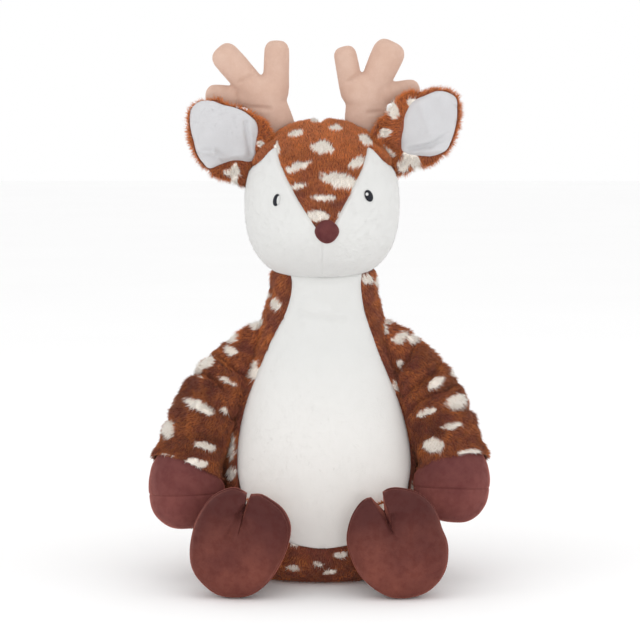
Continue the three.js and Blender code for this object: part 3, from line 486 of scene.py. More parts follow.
def plush_skin(name, grid, centre, comb, spots, seed, white=False, crowd=1.0, stretch=1.0, seam_share=1.0,
               **more):
    """Sews a patch: draws its seams in, less and less over their reach, gives it a wall and covers it
    with pile. The seam's share, one number per column, weakens it."""
    normals = normals_of(grid, False, centre)
    depth = millimetres("seam_depth") * (0.8 if white else 1.0)
    outer = grid - normals * (depth * seam_share * bell(edge_distance(grid), SEAM_REACH))[..., None]
    density = PLUSH_DENSITY if white else bpy.context.scene.deer_sizes.density * crowd
    length = millimetres("plush_length" if white else "pile_length") * stretch
    width = millimetres("strand_width") * (0.35 if white else 1.0)
    cover = outer, False, density, normals_of(outer, False, centre)
    return furry(name, shell(outer, outer - normals * millimetres("skin"), False), cover, comb, spots, length,
                 width, 0.9 if white else 0.5, seed, tangle=0.2 if white else 0.32, **more)


def combed(x, y, z):
    way = np.array([x, y, z], float)
    return lambda roots: np.broadcast_to(way, roots.shape)


def dress(piece, finish, node, body=None):
    """Gives a piece its material and its place on a body, and hides the model's part that it stands for."""
    piece.data.materials.append(finish_named(finish))
    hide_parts(node)
    if body:
        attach(piece, body)


def millimetres(name):
    return getattr(bpy.context.scene.deer_sizes, name) / MM


def drawn_in(grid, normals, depth, rows):
    """Draws a tube in at its first edge, less and less over the given rows."""
    return grid - normals * (depth * bell(np.arange(len(grid)), rows))[:, None, None]


# Surfaces of the body

def girth_at(height):
    return flow(height / TORSO_HIGH, *TORSO_GIRTH.T)


def torso_at(turn, height, out=0.0):
    """An ellipse at each height, its half sizes the girth share there; the turn counts from the front."""
    girth = girth_at(height)
    lean = 1.2 * ease(height, 160, 215)
    return np.stack([np.sin(turn) * (girth * TORSO_WIDE + out) + lean,
                     -np.cos(turn) * (girth * TORSO_DEEP + out), height + 0 * turn], -1)


def in_oval(points, wide, deep, forward=0.0):
    """Whether each point lies in the upright ellipse that has the given half sizes at its height."""
    return (points[..., 0] / np.maximum(wide, 0.1)) ** 2 + (
        (points[..., 1] + forward) / np.maximum(deep, 0.1)) ** 2 < 1


def in_torso(points, spare):
    height = points[..., 2]
    girth = girth_at(height)
    within = in_oval(points, girth * TORSO_WIDE + spare, girth * TORSO_DEEP + spare)
    return within & (height < 226) & (height > -5)


def belly_turn(height):
    """How far round from the front the belly panel's edge lies at a height."""
    half = np.maximum(flow(height / TORSO_HIGH, *BELLY_EDGE.T), 0) * TORSO_WIDE
    return np.arcsin(np.clip(half / (girth_at(height) * TORSO_WIDE), 0, 0.98))


def belly_shift(height):
    """The belly panel turns a little to the deer's left under the chin and low in front."""
    return 0.075 * ease(height, 165, 215) + 0.04 * bell(height - 88, 42)


def neck_lift(turn, share):
    """Shapes the torso's upper edge to the head's seat: lower in front than behind."""
    return share ** 2 * (2.6 - 2.6 * np.cos(turn) + 1.5 * np.sin(turn) ** 2)


def base_seam(turn):
    """Height of the base panel's upper edge: low round the back, higher between the legs."""
    return BASE_FRONT_SEAM - (BASE_FRONT_SEAM - BASE_SEAM) * ease(np.abs(wrapped(turn)), 0.6, 0.82)


def belly_grid():
    """Columns fan out from the middle to the belly's edge at each height."""
    share, over = cells(np.linspace(0, 1, 104) ** 1.2, np.linspace(-1, 1, 60))
    height = BELLY_TIP + (NECK - BELLY_TIP) * share
    turn = over * belly_turn(height) + belly_shift(height)
    grid = torso_at(turn, height + neck_lift(turn, share))
    # A crease under the chin, which slants down to the deer's left, and the fullness above it
    over_fold = height - 195.4 + 0.136 * grid[..., 0]
    crease = (1.3 * bell(over_fold, 1.7) + ease(over_fold, -1, 2) * (1 - ease(over_fold, 5, 26))
              ) * ease(grid[..., 0], -30, -8) * (1 - ease(grid[..., 0], 14, 25))
    grid[..., 1] += crease + 0.5 * noise(grid, 42, 21)
    return grid


def side_grid(side):
    """From the belly's edge round to the middle of the back, and from the base seam up to the neck."""
    share, over = cells(np.linspace(0, 1, 110), np.linspace(0, 1, 72))
    height = BASE_FRONT_SEAM + (NECK - BASE_FRONT_SEAM) * share
    edge = belly_turn(height) + SIDES[side] * belly_shift(height)
    turn = edge + (math.pi - edge) * over
    height = height - (BASE_FRONT_SEAM - base_seam(turn)) * (1 - share) ** 3
    return torso_at(turn * SIDES[side], height + neck_lift(turn, share))


def base_grid():
    """Down from the seam to the floor, then in across the underside, which is drawn up round the zip."""
    turn = around(200)
    x = np.abs(np.sin(turn)) * TORSO_WIDE * 0.97
    low = np.interp(x / TORSO_WIDE, BELLY_EDGE[:4, 1], BELLY_EDGE[:4, 0] * TORSO_HIGH)
    seam = base_seam(turn)
    top = np.where(np.cos(turn) > 0, np.minimum(seam, np.where(x < 33, low, 99)), seam)
    share = np.linspace(1, 0, 34)[:, None]
    wall = torso_at(turn + 0 * share, top * share + 0.6 * (1 - share))
    inward = np.linspace(1, 0, 44)[1:, None]
    foot = wall[-1] * inward[..., None]
    foot[..., 2] = 0.6
    foot[..., 2] += 4.2 * (1 - ease(np.abs(foot[..., 0]), 41.0, 42.4)) * (
        1 - ease(np.abs(foot[..., 1] - ZIP_BACK), 3.9, 5.2))
    return np.concatenate([wall, foot])


def head_half_deep(height):
    """The head's girth share at a height, and its half depth there."""
    up = (height - HEAD_AT) / HEAD_HIGH
    power = np.where(up < 0, 2.6, 2.1)
    girth = (1 - np.minimum(np.abs(up), 1) ** power) ** (1 / power)
    return girth, girth * (HEAD_DEEP + (HEAD_WIDE - HEAD_DEEP) * ease(-up, 0, 0.78))


def muzzle(height):
    return 11 * bell(height - HEAD_AT + 20, 22)


def dimple(side, x, z):
    """How deep an eye draws the face in at a place seen from the front."""
    off = (x - SIDES[side] * 33.3) ** 2 + (z - HEAD_AT - EYES[side][4]) ** 2
    return 1.8 * np.exp(-off / 60)


def head_at(turn, lie, out=0.0):
    """A full round head: its girth follows a superellipse of the height, rounder below than above.
    A bell in front makes the muzzle, a fold the crown's dart, and small dimples the eyes' places.
    The turn counts from the front, the lie from the lower pole."""
    height = HEAD_AT - HEAD_HIGH * np.cos(lie) + 0 * turn
    girth, deep = head_half_deep(height)
    reach = muzzle(height) * ease((height - HEAD_AT) / HEAD_HIGH, -0.95, -0.7)
    front = np.maximum(np.cos(turn), 0) ** 4
    x = np.sin(turn) * (girth * HEAD_WIDE + out)
    y = -HEAD_FORWARD - np.cos(turn) * (deep + out) - front * reach
    z = height - out * np.cos(lie)
    z = z - 2.4 * bell(x + 1.5, 3.6) * ease(height, 322, 336) * ease(-y, -26, -10)
    for side in SIDES:
        y = y + np.where(y < -20, dimple(side, x, z), 0)
    return np.stack([x, y, z], -1)


def in_head(points, spare):
    girth, deep = head_half_deep(points[..., 2])
    within = in_oval(points, girth * HEAD_WIDE + spare, deep + spare, HEAD_FORWARD)
    return within & (np.abs(points[..., 2] - HEAD_AT) < HEAD_HIGH + spare)


def back_turn(lie):
    """How far round from the front the head's side seam lies."""
    deep = head_half_deep(HEAD_AT - HEAD_HIGH * np.cos(lie))[1]
    return np.arccos(np.clip(-(HEAD_BACK_SEAM + HEAD_FORWARD) / np.maximum(deep, 1e-3), -1, 1))


def gusset_lie(over):
    """The lie at which the white cheeks give way to the spotted gusset: low at the nose, up to a
    corner by the antler, down to the ear and level from there. It takes the share of the way round
    to the side seam."""
    turn = over * GUSSET_SPREAD
    turn = np.abs(turn - 0.03 * bell(turn, 0.25))
    height = flow(turn, *GUSSET_HEIGHTS)
    return np.arccos(-(height - HEAD_AT) / HEAD_HIGH)


def cheek_grid(side):
    share, over = cells(np.linspace(0, 1, 70), np.linspace(-0.003, 1, CHEEK_COLUMNS))
    lie = HEAD_LOW_LIE + (gusset_lie(over * SIDES[side]) - HEAD_LOW_LIE) * share
    return head_at(over * back_turn(lie) * SIDES[side], lie)


def gusset_grid():
    share, over = cells(np.linspace(0, 1, 70), np.linspace(-1, 1, 150))
    low = gusset_lie(over)
    lie = low + (math.pi - 1e-4 - low) * share
    return head_at(over * back_turn(lie), lie)


def head_back_grid():
    share, over = cells(np.linspace(0, 1, 80), np.linspace(0, 1, 80))
    lie = HEAD_LOW_LIE + (2.936 - HEAD_LOW_LIE) * share
    edge = back_turn(lie)
    return head_at(edge + (TURN - 2 * edge) * over, lie)


# Limbs, ears, antlers and tail are ellipses carried along a path

def path(centres, halves, guide):
    """Returns a function of the share run and the turn round it: the centre there plus the cosine
    of the turn along the level axis and its sine along the other, each times its half size. Returns
    the knots too, the run at each row."""
    centres, halves, guide = (np.asarray(v, float) for v in (centres, halves, guide))
    moves = np.linalg.norm(np.diff(centres, axis=0), axis=1)
    shrinks = np.abs(np.diff(halves, axis=0)).max(1)
    knots = np.concatenate([[0], np.cumsum(np.hypot(moves, shrinks))])
    knots = knots / knots[-1]

    def middle(run):
        return np.stack([flow(run, knots, centres[:, k]) for k in range(3)], -1)

    def at(run, turn, out=0.0):
        run = np.asarray(run, float) + 0 * turn
        along = unit(middle(np.minimum(run + 0.02, 1)) - middle(np.maximum(run - 0.02, 0)))
        across = unit(np.cross(guide, along))
        lift = np.cross(along, across)
        wide, deep = (np.maximum(flow(run, knots, half), 0) + out for half in halves.T)
        return middle(run) + (np.cos(turn) * wide)[..., None] * across + (np.sin(turn) * deep)[..., None] * lift
    return at, knots


def emerging(at, end, turns):
    """For each turn the run at which the tube comes out of the torso, smoothed round the seam."""
    steps = 240
    hidden = in_torso(at(np.linspace(0, end, steps)[:, None], turns), -1.0)
    last = steps - 1 - np.argmax(hidden[::-1], axis=0)
    last = np.where(hidden.any(0), last, 0) / (steps - 1) * end
    return np.convolve(np.concatenate([last[-4:], last, last[:4]]), np.ones(9) / 9, "valid")


def arm_tube(side):
    """The arm's tube, its knots, and the share of its drop at which each lies."""
    x, y, z = ARM_ROOT[side]
    out, forward, down, wide, deep = ARM_ROWS.T
    centres = np.stack([x + SIDES[side] * out * ARM_OUT[side], y - forward * ARM_FORWARD,
                        z - down * ARM_DROP[side]], 1)
    at, knots = path(centres, np.stack([wide * ARM_WIDE, deep * ARM_DEEP], 1), (0, 1, 0))
    return at, knots, down


def arm_run(side, share):
    """The run at which the arm has come down by a share of its drop."""
    _, knots, down = arm_tube(side)
    return float(np.interp(share, down, knots))


def cuff_run(side, cuff, turns):
    """The hem is drawn up in front and hangs lower on the side of the body."""
    low = {"left": 0.012, "right": 0.03}[side] * SIDES[side]
    return cuff + 0.006 + 0.024 * np.sin(turns) + low * np.cos(turns)


def leg_path(side):
    """The leg's tube, and the runs of its cuff and of the sole's seam."""
    along, wide, high = LEG_ROWS.T
    centres = np.stack([SIDES[side] * (HIP[0] + along * LEG_SPLAY[side]), HIP[1] - along * LEG_LONG,
                        HIP[2] + np.minimum(along, 1) * 4], 1)
    at, knots = path(centres, np.stack([wide * FOOT_WIDE, high * FOOT_HIGH], 1), (0, 0, 1))
    return at, *(float(np.interp(share, along, knots)) for share in (0.58, 0.85))


def crumpled(turns, run, side):
    """Draws a sleeve in at soft folds that run round part of it, each a narrow valley beside a
    broader swelling."""
    pull = 0
    for number, (down, depth, from_turn, spread, slant) in enumerate(ARM_FOLDS[side]):
        off = wrapped(turns - from_turn)
        wave = arm_run(side, down) + 0.008 * np.sin(3 * turns + number) + slant * off
        along = (run - wave) / 0.014
        pull = pull + depth * (bell(along, 1) - 0.35 * bell(along - 2.6, 1.8)) * (
            1 - ease(np.abs(off), spread * 0.45, spread))
    return pull


def mouth_turn(side):
    """The turn round a leg's tube at which the foot's cleft opens."""
    mouth = CLEFT[side][0]
    return math.atan2(mouth[1] / FOOT_HIGH, mouth[0] / FOOT_WIDE)


def foot_turns(side, count=150, dense=70):
    """Turns round a foot, crowded where the cleft is so that its walls come out straight."""
    high = mouth_turn(side)
    crowd = high + np.linspace(-0.19, 0.19, dense)
    rest = np.linspace(high + 0.19, high - 0.19 + TURN, count - dense + 2)[1:-1]
    return np.concatenate([crowd, rest]) % TURN


def polar(off):
    """An outline round its middle as directions in order and the distance at each, with three more
    past each end, so that a flow through them closes."""
    angle = np.arctan2(off[:, 1], off[:, 0])
    order = np.argsort(angle)
    angle, radius = angle[order], np.linalg.norm(off, axis=1)[order]
    return (np.concatenate([angle[-3:] - TURN, angle, angle[:3] + TURN]),
            np.concatenate([radius[-3:], radius, radius[:3]]))


def to_wedge(heading, side):
    """How far from a foot's middle each direction meets the cleft: one of its two walls, whose
    distance from its axis grows up to the mouth, or its bottom."""
    mouth, low, half_mouth = (np.array(v) for v in CLEFT[side])
    axis = unit(mouth - low)
    side_way = np.array([axis[1], -axis[0]])
    rise = heading @ axis
    reach = np.full(rise.shape, 1e9)
    slope = (half_mouth - CLEFT_BOTTOM) / np.linalg.norm(mouth - low)
    for sign in (1.0, -1.0):
        closing = heading @ side_way * sign - slope * rise
        wall = (CLEFT_BOTTOM + slope * -(low @ axis) + low @ side_way * sign) / np.where(
            np.abs(closing) < 1e-6, 1e-6, closing)
        inside = heading * (wall[..., None] + 0.02) - low
        ok = (wall > 0) & (inside @ axis > 0) & (np.abs(inside @ side_way) < 0.45 + slope * (inside @ axis))
        reach = np.where(ok, np.minimum(reach, wall), reach)
    bottom = (low @ axis) / np.maximum(rise, 1e-6)
    within = np.abs(heading @ side_way * bottom - low @ side_way) < 0.5
    return np.where((rise > 0) & within, np.minimum(reach, bottom), reach)


def cloven(points, side):
    """Gives a foot its outline and cuts the cleft into its front: each point is drawn toward the
    foot's middle as far as the wedge. Then the sole is hollowed below the wedge, creased along short
    lines and puffed between."""
    middle = np.array([SIDES[side] * (HIP[0] + LEG_SPLAY[side]), FOOT_MIDDLE_HIGH])
    flat = points[..., [0, 2]] - middle
    heading = unit(flat)
    angle = np.arctan2(flat[..., 1], flat[..., 0])
    seen = flow(angle, *polar(np.array(FOOT_EDGE[side], float)))
    plain = 1 / np.hypot(heading[..., 0] / FOOT_WIDE, heading[..., 1] / FOOT_HIGH)
    mouth = CLEFT[side][0]
    off_mouth = wrapped(angle - math.atan2(mouth[1], mouth[0]))
    depth = 1 - ease(points[..., 1], -90, -80)
    shaped = 1 - ease(points[..., 1], -102, -90)
    full = seen * (1 - 0.09 * bell(off_mouth, 0.17) * depth)
    notch = np.minimum(to_wedge(heading, side), full) / full
    scale = (1 + (full / plain - 1) * shaped) * (1 + (notch - 1) * depth)
    flat = flat * scale[..., None]
    hollow_x, hollow_z, hollow = SOLE_HOLLOW[side]
    dent = hollow * np.exp(-((flat[..., 0] - hollow_x) ** 2 + (flat[..., 1] - hollow_z) ** 2) / 110)
    for start, end, deep, wide in SOLE_CREASES[side]:
        run, off = by_line(flat, start, end)
        dent = np.maximum(dent, 0.6 * dent + deep * (1 - 0.35 * run) * bell(off, wide))
    sole = ease(-points[..., 1], 108, 119)
    dent = sole * (dent + 1.7 * noise(points, 21, 31) + 0.6 * noise(points, 8, 32))
    return np.stack([flat[..., 0] + middle[0], points[..., 1] + dent, flat[..., 1] + middle[1]], -1)


def ear_depth(side, x, z):
    """How far front or back the ear's sheet lies: it leans forward to the tip and cups at its edges."""
    rise = math.radians(EAR_RISE[side])
    dx, dz = x - SIDES[side] * EAR_ROOT[0], z - EAR_ROOT[2]
    along = dx * (SIDES[side] * math.cos(rise)) + dz * math.sin(rise)
    across = dx * (SIDES[side] * math.sin(rise)) - dz * math.cos(rise)
    share = np.clip(along / EAR_LONG, -0.1, 1)
    half = np.maximum(flow(share, *EAR_ROWS.T), 0.25) * EAR_HALF
    return EAR_ROOT[1] - share * 7 - 9 * np.clip(across / half, -1.15, 1.15) ** 2 * half / EAR_HALF


def outline_of(edge):
    """The middle of an outline, and its distance from there as a function of the direction."""
    edge = np.array(edge, float)
    middle = (edge.min(0) + edge.max(0)) / 2
    return middle, polar(edge - middle)


def out_to(points, middle, outline):
    """How far each point lies from an outline's middle seen from the front, and the outline there."""
    dx, dz = points[:, 0] - middle[0], points[:, 2] - middle[1]
    return np.hypot(dx, dz), flow(np.arctan2(dz, dx), *outline)


def ear_grid(side):
    """A flat leaf within its outline: rings run from the middle of its front over the edge to the
    middle of its back, and its section is a rounded oblong."""
    middle, outline = outline_of(EAR_EDGE[side])
    lie, turn = cells(np.linspace(0, math.pi, 84), around(150, -math.pi))
    reach = flow(turn, *outline) * np.sin(lie) ** 0.9
    x, z = middle[0] + reach * np.cos(turn), middle[1] + reach * np.sin(turn)
    level = np.sign(np.cos(lie)) * np.abs(np.cos(lie)) ** 0.45
    thick = np.where(level < 0, 3.1 + 3.0 * (1 - ease(np.abs(x), 46, 64)), 3.1)
    y = ear_depth(side, x, z) + 3.1 - level * thick - 9 * (1 - ease(np.abs(x), 36, 49)) ** 2
    return np.stack([x, y + 0.8 * noise(np.stack([x, 0 * x, z], -1), 15, 41), z], -1)


def lining_grid(side):
    """Rings that grow from the lining's middle to its outline, puffed, folded along short lines and
    turned in at the edge."""
    middle, outline = outline_of(LINING_EDGE[side])
    share, turn = cells(np.linspace(0, 1, 44), around(150, -math.pi))
    reach = flow(turn, *outline)
    x, z = middle[0] + share * reach * np.cos(turn), middle[1] + share * reach * np.sin(turn)
    flat = np.stack([x, z], -1)
    fold = sum(high * bell(by_line(flat, start, end)[1], wide) for start, end, high, wide in LINING_FOLDS[side])
    puff = 2.6 * (1 - share ** 3) + fold * (1 - share ** 6) + 0.9 * noise(np.stack([x, 0 * x, z], -1), 13, 43)
    sheet = ear_depth(side, x, z)
    front = np.stack([x, sheet - 0.5 - np.maximum(puff, 0.1) + 1.6 * share ** 14, z], -1)
    back = np.stack([x, sheet - 0.1 + 1.4 * share ** 14, z], -1)
    return front, back, middle, outline


def antler_parts(side):
    """Round-ended branches: each an ellipse carried from its start to its end, and both ends close as
    half circles."""
    root = np.array(ANTLER_ROOT[side])
    grids = []
    for from_out, from_up, to_out, to_up, from_share, to_share, back in ANTLER_BRANCHES[side]:
        start = root + ANTLER_HIGH * np.array([SIDES[side] * from_out, 0, from_up])
        end = root + ANTLER_HIGH * np.array([SIDES[side] * to_out, back, to_up])
        along = unit(end - start)
        across = unit(np.cross((0, 1, 0), along))
        deep = np.cross(along, across)
        lie = np.linspace(0, math.pi, 30)
        before = -np.cos(lie)
        blend = ease(before, -0.35, 0.35)
        share = from_share + (to_share - from_share) * blend
        cap = ANTLER_WIDE * share * np.where(before < 0, 0.5, 1.0) * before
        centre = start + blend[:, None] * (end - start) + cap[:, None] * along
        girth = np.sin(lie) ** 0.6
        turn = around(28)
        wide = ANTLER_WIDE * share * girth
        thick = ANTLER_DEEP * np.minimum(1, share + 0.25) * girth
        grids.append(centre[:, None] + (wide[:, None] * np.cos(turn))[..., None] * across
                     + (thick[:, None] * np.sin(turn))[..., None] * deep)
    return grids


# Materials

def from_srgb(*shade):
    """A colour given as it looks on a screen, 0 to 255, as the linear values that shaders take."""
    c = np.array(shade, float) / 255
    return tuple(np.where(c < 0.04045, c / 12.92, ((c + 0.055) / 1.055) ** 2.4)) + (1.0,)


class Finish:
    """A material under construction: its shader and short ways to add the nodes it reads."""

    def __init__(self, name, roughness, sheen=0.0, sheen_roughness=0.5, sheen_tint=None, specular=0.3,
                 metallic=0.0):
        self.material = bpy.data.materials.new(name)
        self.material.use_nodes = True
        self.tree = self.material.node_tree
        self.shader = self.tree.nodes["Principled BSDF"]
        values = {"Roughness": roughness, "Sheen Weight": sheen, "Sheen Roughness": sheen_roughness,
                  "Specular IOR Level": specular, "Metallic": metallic}
        for socket, value in values.items():
            self.shader.inputs[socket].default_value = value
        if sheen_tint:
            self.shader.inputs["Sheen Tint"].default_value = sheen_tint
        self.place = self.add("ShaderNodeTexCoord").outputs["Object"]

    def add(self, kind, **settings):
        node = self.tree.nodes.new(kind)
        for key, value in settings.items():
            setattr(node, key, value)
        return node

    def join(self, source, target):
        self.tree.links.new(source, target)

    def feed(self, socket, value):
        if hasattr(value, "is_output"):
            self.join(value, socket)
        else:
            socket.default_value = value

    def noise(self, size, detail=3.0, rough=0.55, stretch=None):
        """Noise whose lumps have about the given size in metres, longer along the stretched axis."""
        node = self.add("ShaderNodeTexNoise")
        node.inputs["Scale"].default_value = 1 / size
        node.inputs["Detail"].default_value = detail
        node.inputs["Roughness"].default_value = rough
        place = self.place
        if stretch:
            mapping = self.add("ShaderNodeMapping")
            mapping.inputs["Scale"].default_value = stretch
            self.join(place, mapping.inputs["Vector"])
            place = mapping.outputs["Vector"]
        self.join(place, node.inputs["Vector"])
        return node.outputs["Fac"]

    def span(self, value, low, high, to_low=0.0, to_high=1.0):
        node = self.add("ShaderNodeMapRange")
        for key, number in (("From Min", low), ("From Max", high), ("To Min", to_low), ("To Max", to_high)):
            node.inputs[key].default_value = number
        self.join(value, node.inputs["Value"])
        return node.outputs["Result"]

    def maths(self, operation, first, second):
        node = self.add("ShaderNodeMath", operation=operation)
        self.feed(node.inputs[0], first)
        self.feed(node.inputs[1], second)
        return node.outputs[0]

    def mix(self, share, first, second, blend="MIX"):
        node = self.add("ShaderNodeMix", data_type="RGBA", blend_type=blend)
        self.feed(node.inputs["Factor"], share)
        self.feed(node.inputs[6], first)
        self.feed(node.inputs[7], second)
        return node.outputs[2]

    def colour(self, value):
        self.feed(self.shader.inputs["Base Color"], value)

    def bump(self, height, strength, distance):
        node = self.add("ShaderNodeBump")
        node.inputs["Strength"].default_value = strength
        node.inputs["Distance"].default_value = distance
        self.join(height, node.inputs["Height"])
        self.join(node.outputs["Normal"], self.shader.inputs["Normal"])

    def rough(self, value, low, high):
        self.join(self.span(value, 0.3, 0.7, low, high), self.shader.inputs["Roughness"])

    def axes(self):
        """The place along each of the object's axes, in metres."""
        parts = self.add("ShaderNodeSeparateXYZ")
        self.join(self.place, parts.inputs[0])
        return parts.outputs

    def pile(self):
        """The pile's own layer: share along a strand, random lot, whiteness, and nearness to a spot raised by
        any painted rim light.
        """
        layer = self.add("ShaderNodeAttribute", attribute_name="pile")
        parts = self.add("ShaderNodeSeparateColor")
        self.join(layer.outputs["Color"], parts.inputs["Color"])
        return (*parts.outputs, layer.outputs["Alpha"])


def spotted_fur(colours):
    """Brown pile, rusty at the tip, mottled, with white printed spots. Brown and white alike are darker at the
    root, a painted shade deep in the pile, and soft patches of painted shade draw it toward the root colour. It
    is rustier high on the head, a little darker on the arms and low at the sides as painted shade, and toward
    the ears' rims it nears the rust colour as painted light."""
    finish = Finish("spotted_fur", 0.82, sheen=0.25, sheen_roughness=0.45, sheen_tint=from_srgb(235, 190, 160),
                    specular=0.18)
    along, lot, white, halo_and_rim_light = finish.pile()
    root, tip, rust_and_rim_light = (tuple(shade) for shade in (colours.fur_root_shade, colours.fur_tip, colours.fur_rust_and_rim_light))
    rust = finish.mix(finish.span(finish.noise(0.013, 3.0), 0.40, 0.62), tip, rust_and_rim_light)
    # Rust near the printed spots, and painted rim light where that channel marks the ears' rims.
    rust = finish.mix(finish.maths("MULTIPLY", halo_and_rim_light, 0.7), rust, rust_and_rim_light)
    # Painted shade: the pile darkens from tip to root, as the depth of the pile lies in shade.
    brown = finish.mix(finish.span(along, 0.0, 0.85), root, rust)
    # Painted shade: soft patches draw the pile toward its root colour, as shade among the clumps.
    brown = finish.mix(finish.span(finish.noise(0.02, 3.0, 0.6), 0.46, 0.64, 0.0, 0.55), brown, root)
    place = finish.axes()
    crown = finish.maths("MULTIPLY", finish.span(place["Z"], 0.275, 0.325), along)
    brown = finish.mix(crown, brown, rust_and_rim_light)
    # Painted shade: the pile is a little darker far out to the sides below the shoulders, on the arms and the
    # low sides.
    aside = finish.span(finish.maths("ABSOLUTE", place["X"], 0.0), 0.052, 0.08)
    lower = finish.span(place["Z"], 0.19, 0.22, 1.0, 0.0)
    arms = finish.span(finish.maths("MULTIPLY", aside, lower), 0.0, 1.0, 1.08, 0.83)
    dim = finish.span(lot, 0.0, 1.0, 0.72, 1.12)
    grain = finish.span(finish.noise(0.0016, 2.0), 0.3, 0.7, 0.86, 1.1)
    tone = finish.maths("MULTIPLY", finish.maths("MULTIPLY", dim, grain), arms)
    grey = finish.add("ShaderNodeCombineColor")
    for socket in grey.inputs:
        finish.join(tone, socket)
    brown = finish.mix(1.0, brown, grey.outputs[0], "MULTIPLY")
    # Painted shade: the white spots too are a little darker at the root.
    pale = finish.mix(finish.span(along, 0.0, 0.7), tuple(colours.spot_root_shade), tuple(colours.spot_tip))
    finish.colour(finish.mix(white, brown, pale))
    finish.rough(finish.noise(0.004), 0.74, 0.92)
    finish.bump(finish.noise(0.0011, 3.0), 0.35, 0.0006)


def white_plush(name, pale, dim, low_lit=None):
    """Short smooth white pile with faint drifts of shade. With a lighter shade given, it nears that low down:
    painted light on the low body.
    """
    finish = Finish(name, 0.85, sheen=0.35, sheen_roughness=0.5, specular=0.15)
    drift = finish.mix(finish.span(finish.noise(0.04, 2.0), 0.3, 0.7, 0.0, 0.6), tuple(pale), tuple(dim))
    fine = finish.span(finish.noise(0.0013, 3.0), 0.35, 0.65, 0.0, 0.25)
    drift = finish.mix(fine, drift, tuple(dim))
    # Painted light: lighter toward the bottom, against the shade low on the body.
    if low_lit:
        drift = finish.mix(finish.span(finish.axes()["Z"], 0.17, 0.06), drift, low_lit)
    finish.colour(drift)
    finish.rough(finish.noise(0.003), 0.78, 0.94)
    finish.bump(finish.noise(0.0012, 3.0), 0.08, 0.0002)


def velour(name, shades, sheen_tint, sheen, top_shade=0.0, low=0.0, high=1.0):
    """Close velour: the nap lies this way and that in soft patches over a fine grain, and the patches are
    painted lighter and darker as its sheen would show. A painted shade darkens it from the low height to the
    high one, the tops lying in shade."""
    base, light, dark = (tuple(shade) for shade in shades)
    finish = Finish(name, 0.8, sheen=sheen, sheen_roughness=0.32, sheen_tint=sheen_tint, specular=0.16)
    # The nap's patches are real; their lighter and darker colours paint the sheen that the nap throws.
    nap = finish.span(finish.noise(0.022, 3.0, 0.5), 0.34, 0.68, 0.15, 0.7)
    strokes = finish.span(finish.noise(0.006, 4.0, 0.6), 0.36, 0.72)
    colour = finish.mix(nap, base, light)
    colour = finish.mix(finish.maths("MULTIPLY", strokes, 0.3), colour, dark)
    # Painted shade: darker from the low height up to the high one.
    shaded_height = finish.maths("ADD", finish.axes()["Z"], finish.maths("MULTIPLY", finish.noise(0.03, 2.0), 0.03))
    colour = finish.mix(finish.span(shaded_height, low, high, 0.0, top_shade), colour, dark)
    colour = finish.mix(finish.span(finish.noise(0.0007, 2.0, 0.7), 0.35, 0.7, 0.0, 0.22), colour, dark)
    finish.colour(colour)
    finish.rough(strokes, 0.7, 0.9)
    height = finish.maths("ADD", finish.noise(0.0008, 3.0, 0.7), finish.maths("MULTIPLY", strokes, 0.5))
    finish.bump(height, 0.35, 0.0004)


def eye_stitching(colours):
    """Satin stitches: fine slanting ridges of shiny thread, with a white stitch where marked."""
    finish = Finish("eye_stitching", 0.6, sheen=0.1, specular=0.25)
    wave = finish.add("ShaderNodeTexWave", wave_type="BANDS", bands_direction="DIAGONAL")
    wave.inputs["Scale"].default_value = 420
    wave.inputs["Distortion"].default_value = 0.6
    finish.join(finish.place, wave.inputs["Vector"])
    ridges = wave.outputs["Fac"]
    # Painted shade: the thread is darker in the grooves between the raised stitches.
    dark = finish.mix(finish.span(ridges, 0.2, 0.9), from_srgb(12, 13, 22), tuple(colours.thread))
    finish.colour(finish.mix(finish.pile()[2], dark, tuple(colours.plush)))
    finish.rough(finish.noise(0.001), 0.5, 0.7)
    finish.bump(ridges, 0.6, 0.0003)


def bean_bag_cotton():
    """Plain cotton over beans: a fine weave, and small round lumps pressing through it, with painted shade
    between them.
    """
    finish = Finish("bean_bag_cotton", 0.85, sheen=0.15, specular=0.15)
    beans = finish.add("ShaderNodeTexVoronoi")
    beans.inputs["Scale"].default_value = 260
    finish.join(finish.place, beans.inputs["Vector"])
    lumps = beans.outputs["Distance"]
    weave = finish.noise(0.0006, 2.0, 0.5, (1.0, 4.0, 1.0))
    # Painted shade: the cotton darkens away from each bean's middle, in the hollows between the beans.
    finish.colour(finish.mix(finish.span(lumps, 0.1, 0.7), from_srgb(226, 219, 204), from_srgb(188, 178, 160)))
    finish.rough(weave, 0.78, 0.92)
    finish.bump(finish.maths("SUBTRACT", weave, finish.maths("MULTIPLY", lumps, 2.0)), 0.5, 0.0012)


def grained(name, settings, pattern, spread, shades, rough, bump):
    """One noise pattern blends two shades, roughens the surface and raises it."""
    finish = Finish(name, **settings)
    grain = finish.noise(*pattern)
    finish.colour(finish.mix(finish.span(grain, *spread), *(from_srgb(*shade) for shade in shades)))
    finish.rough(grain, *rough)
    finish.bump(grain, *bump)


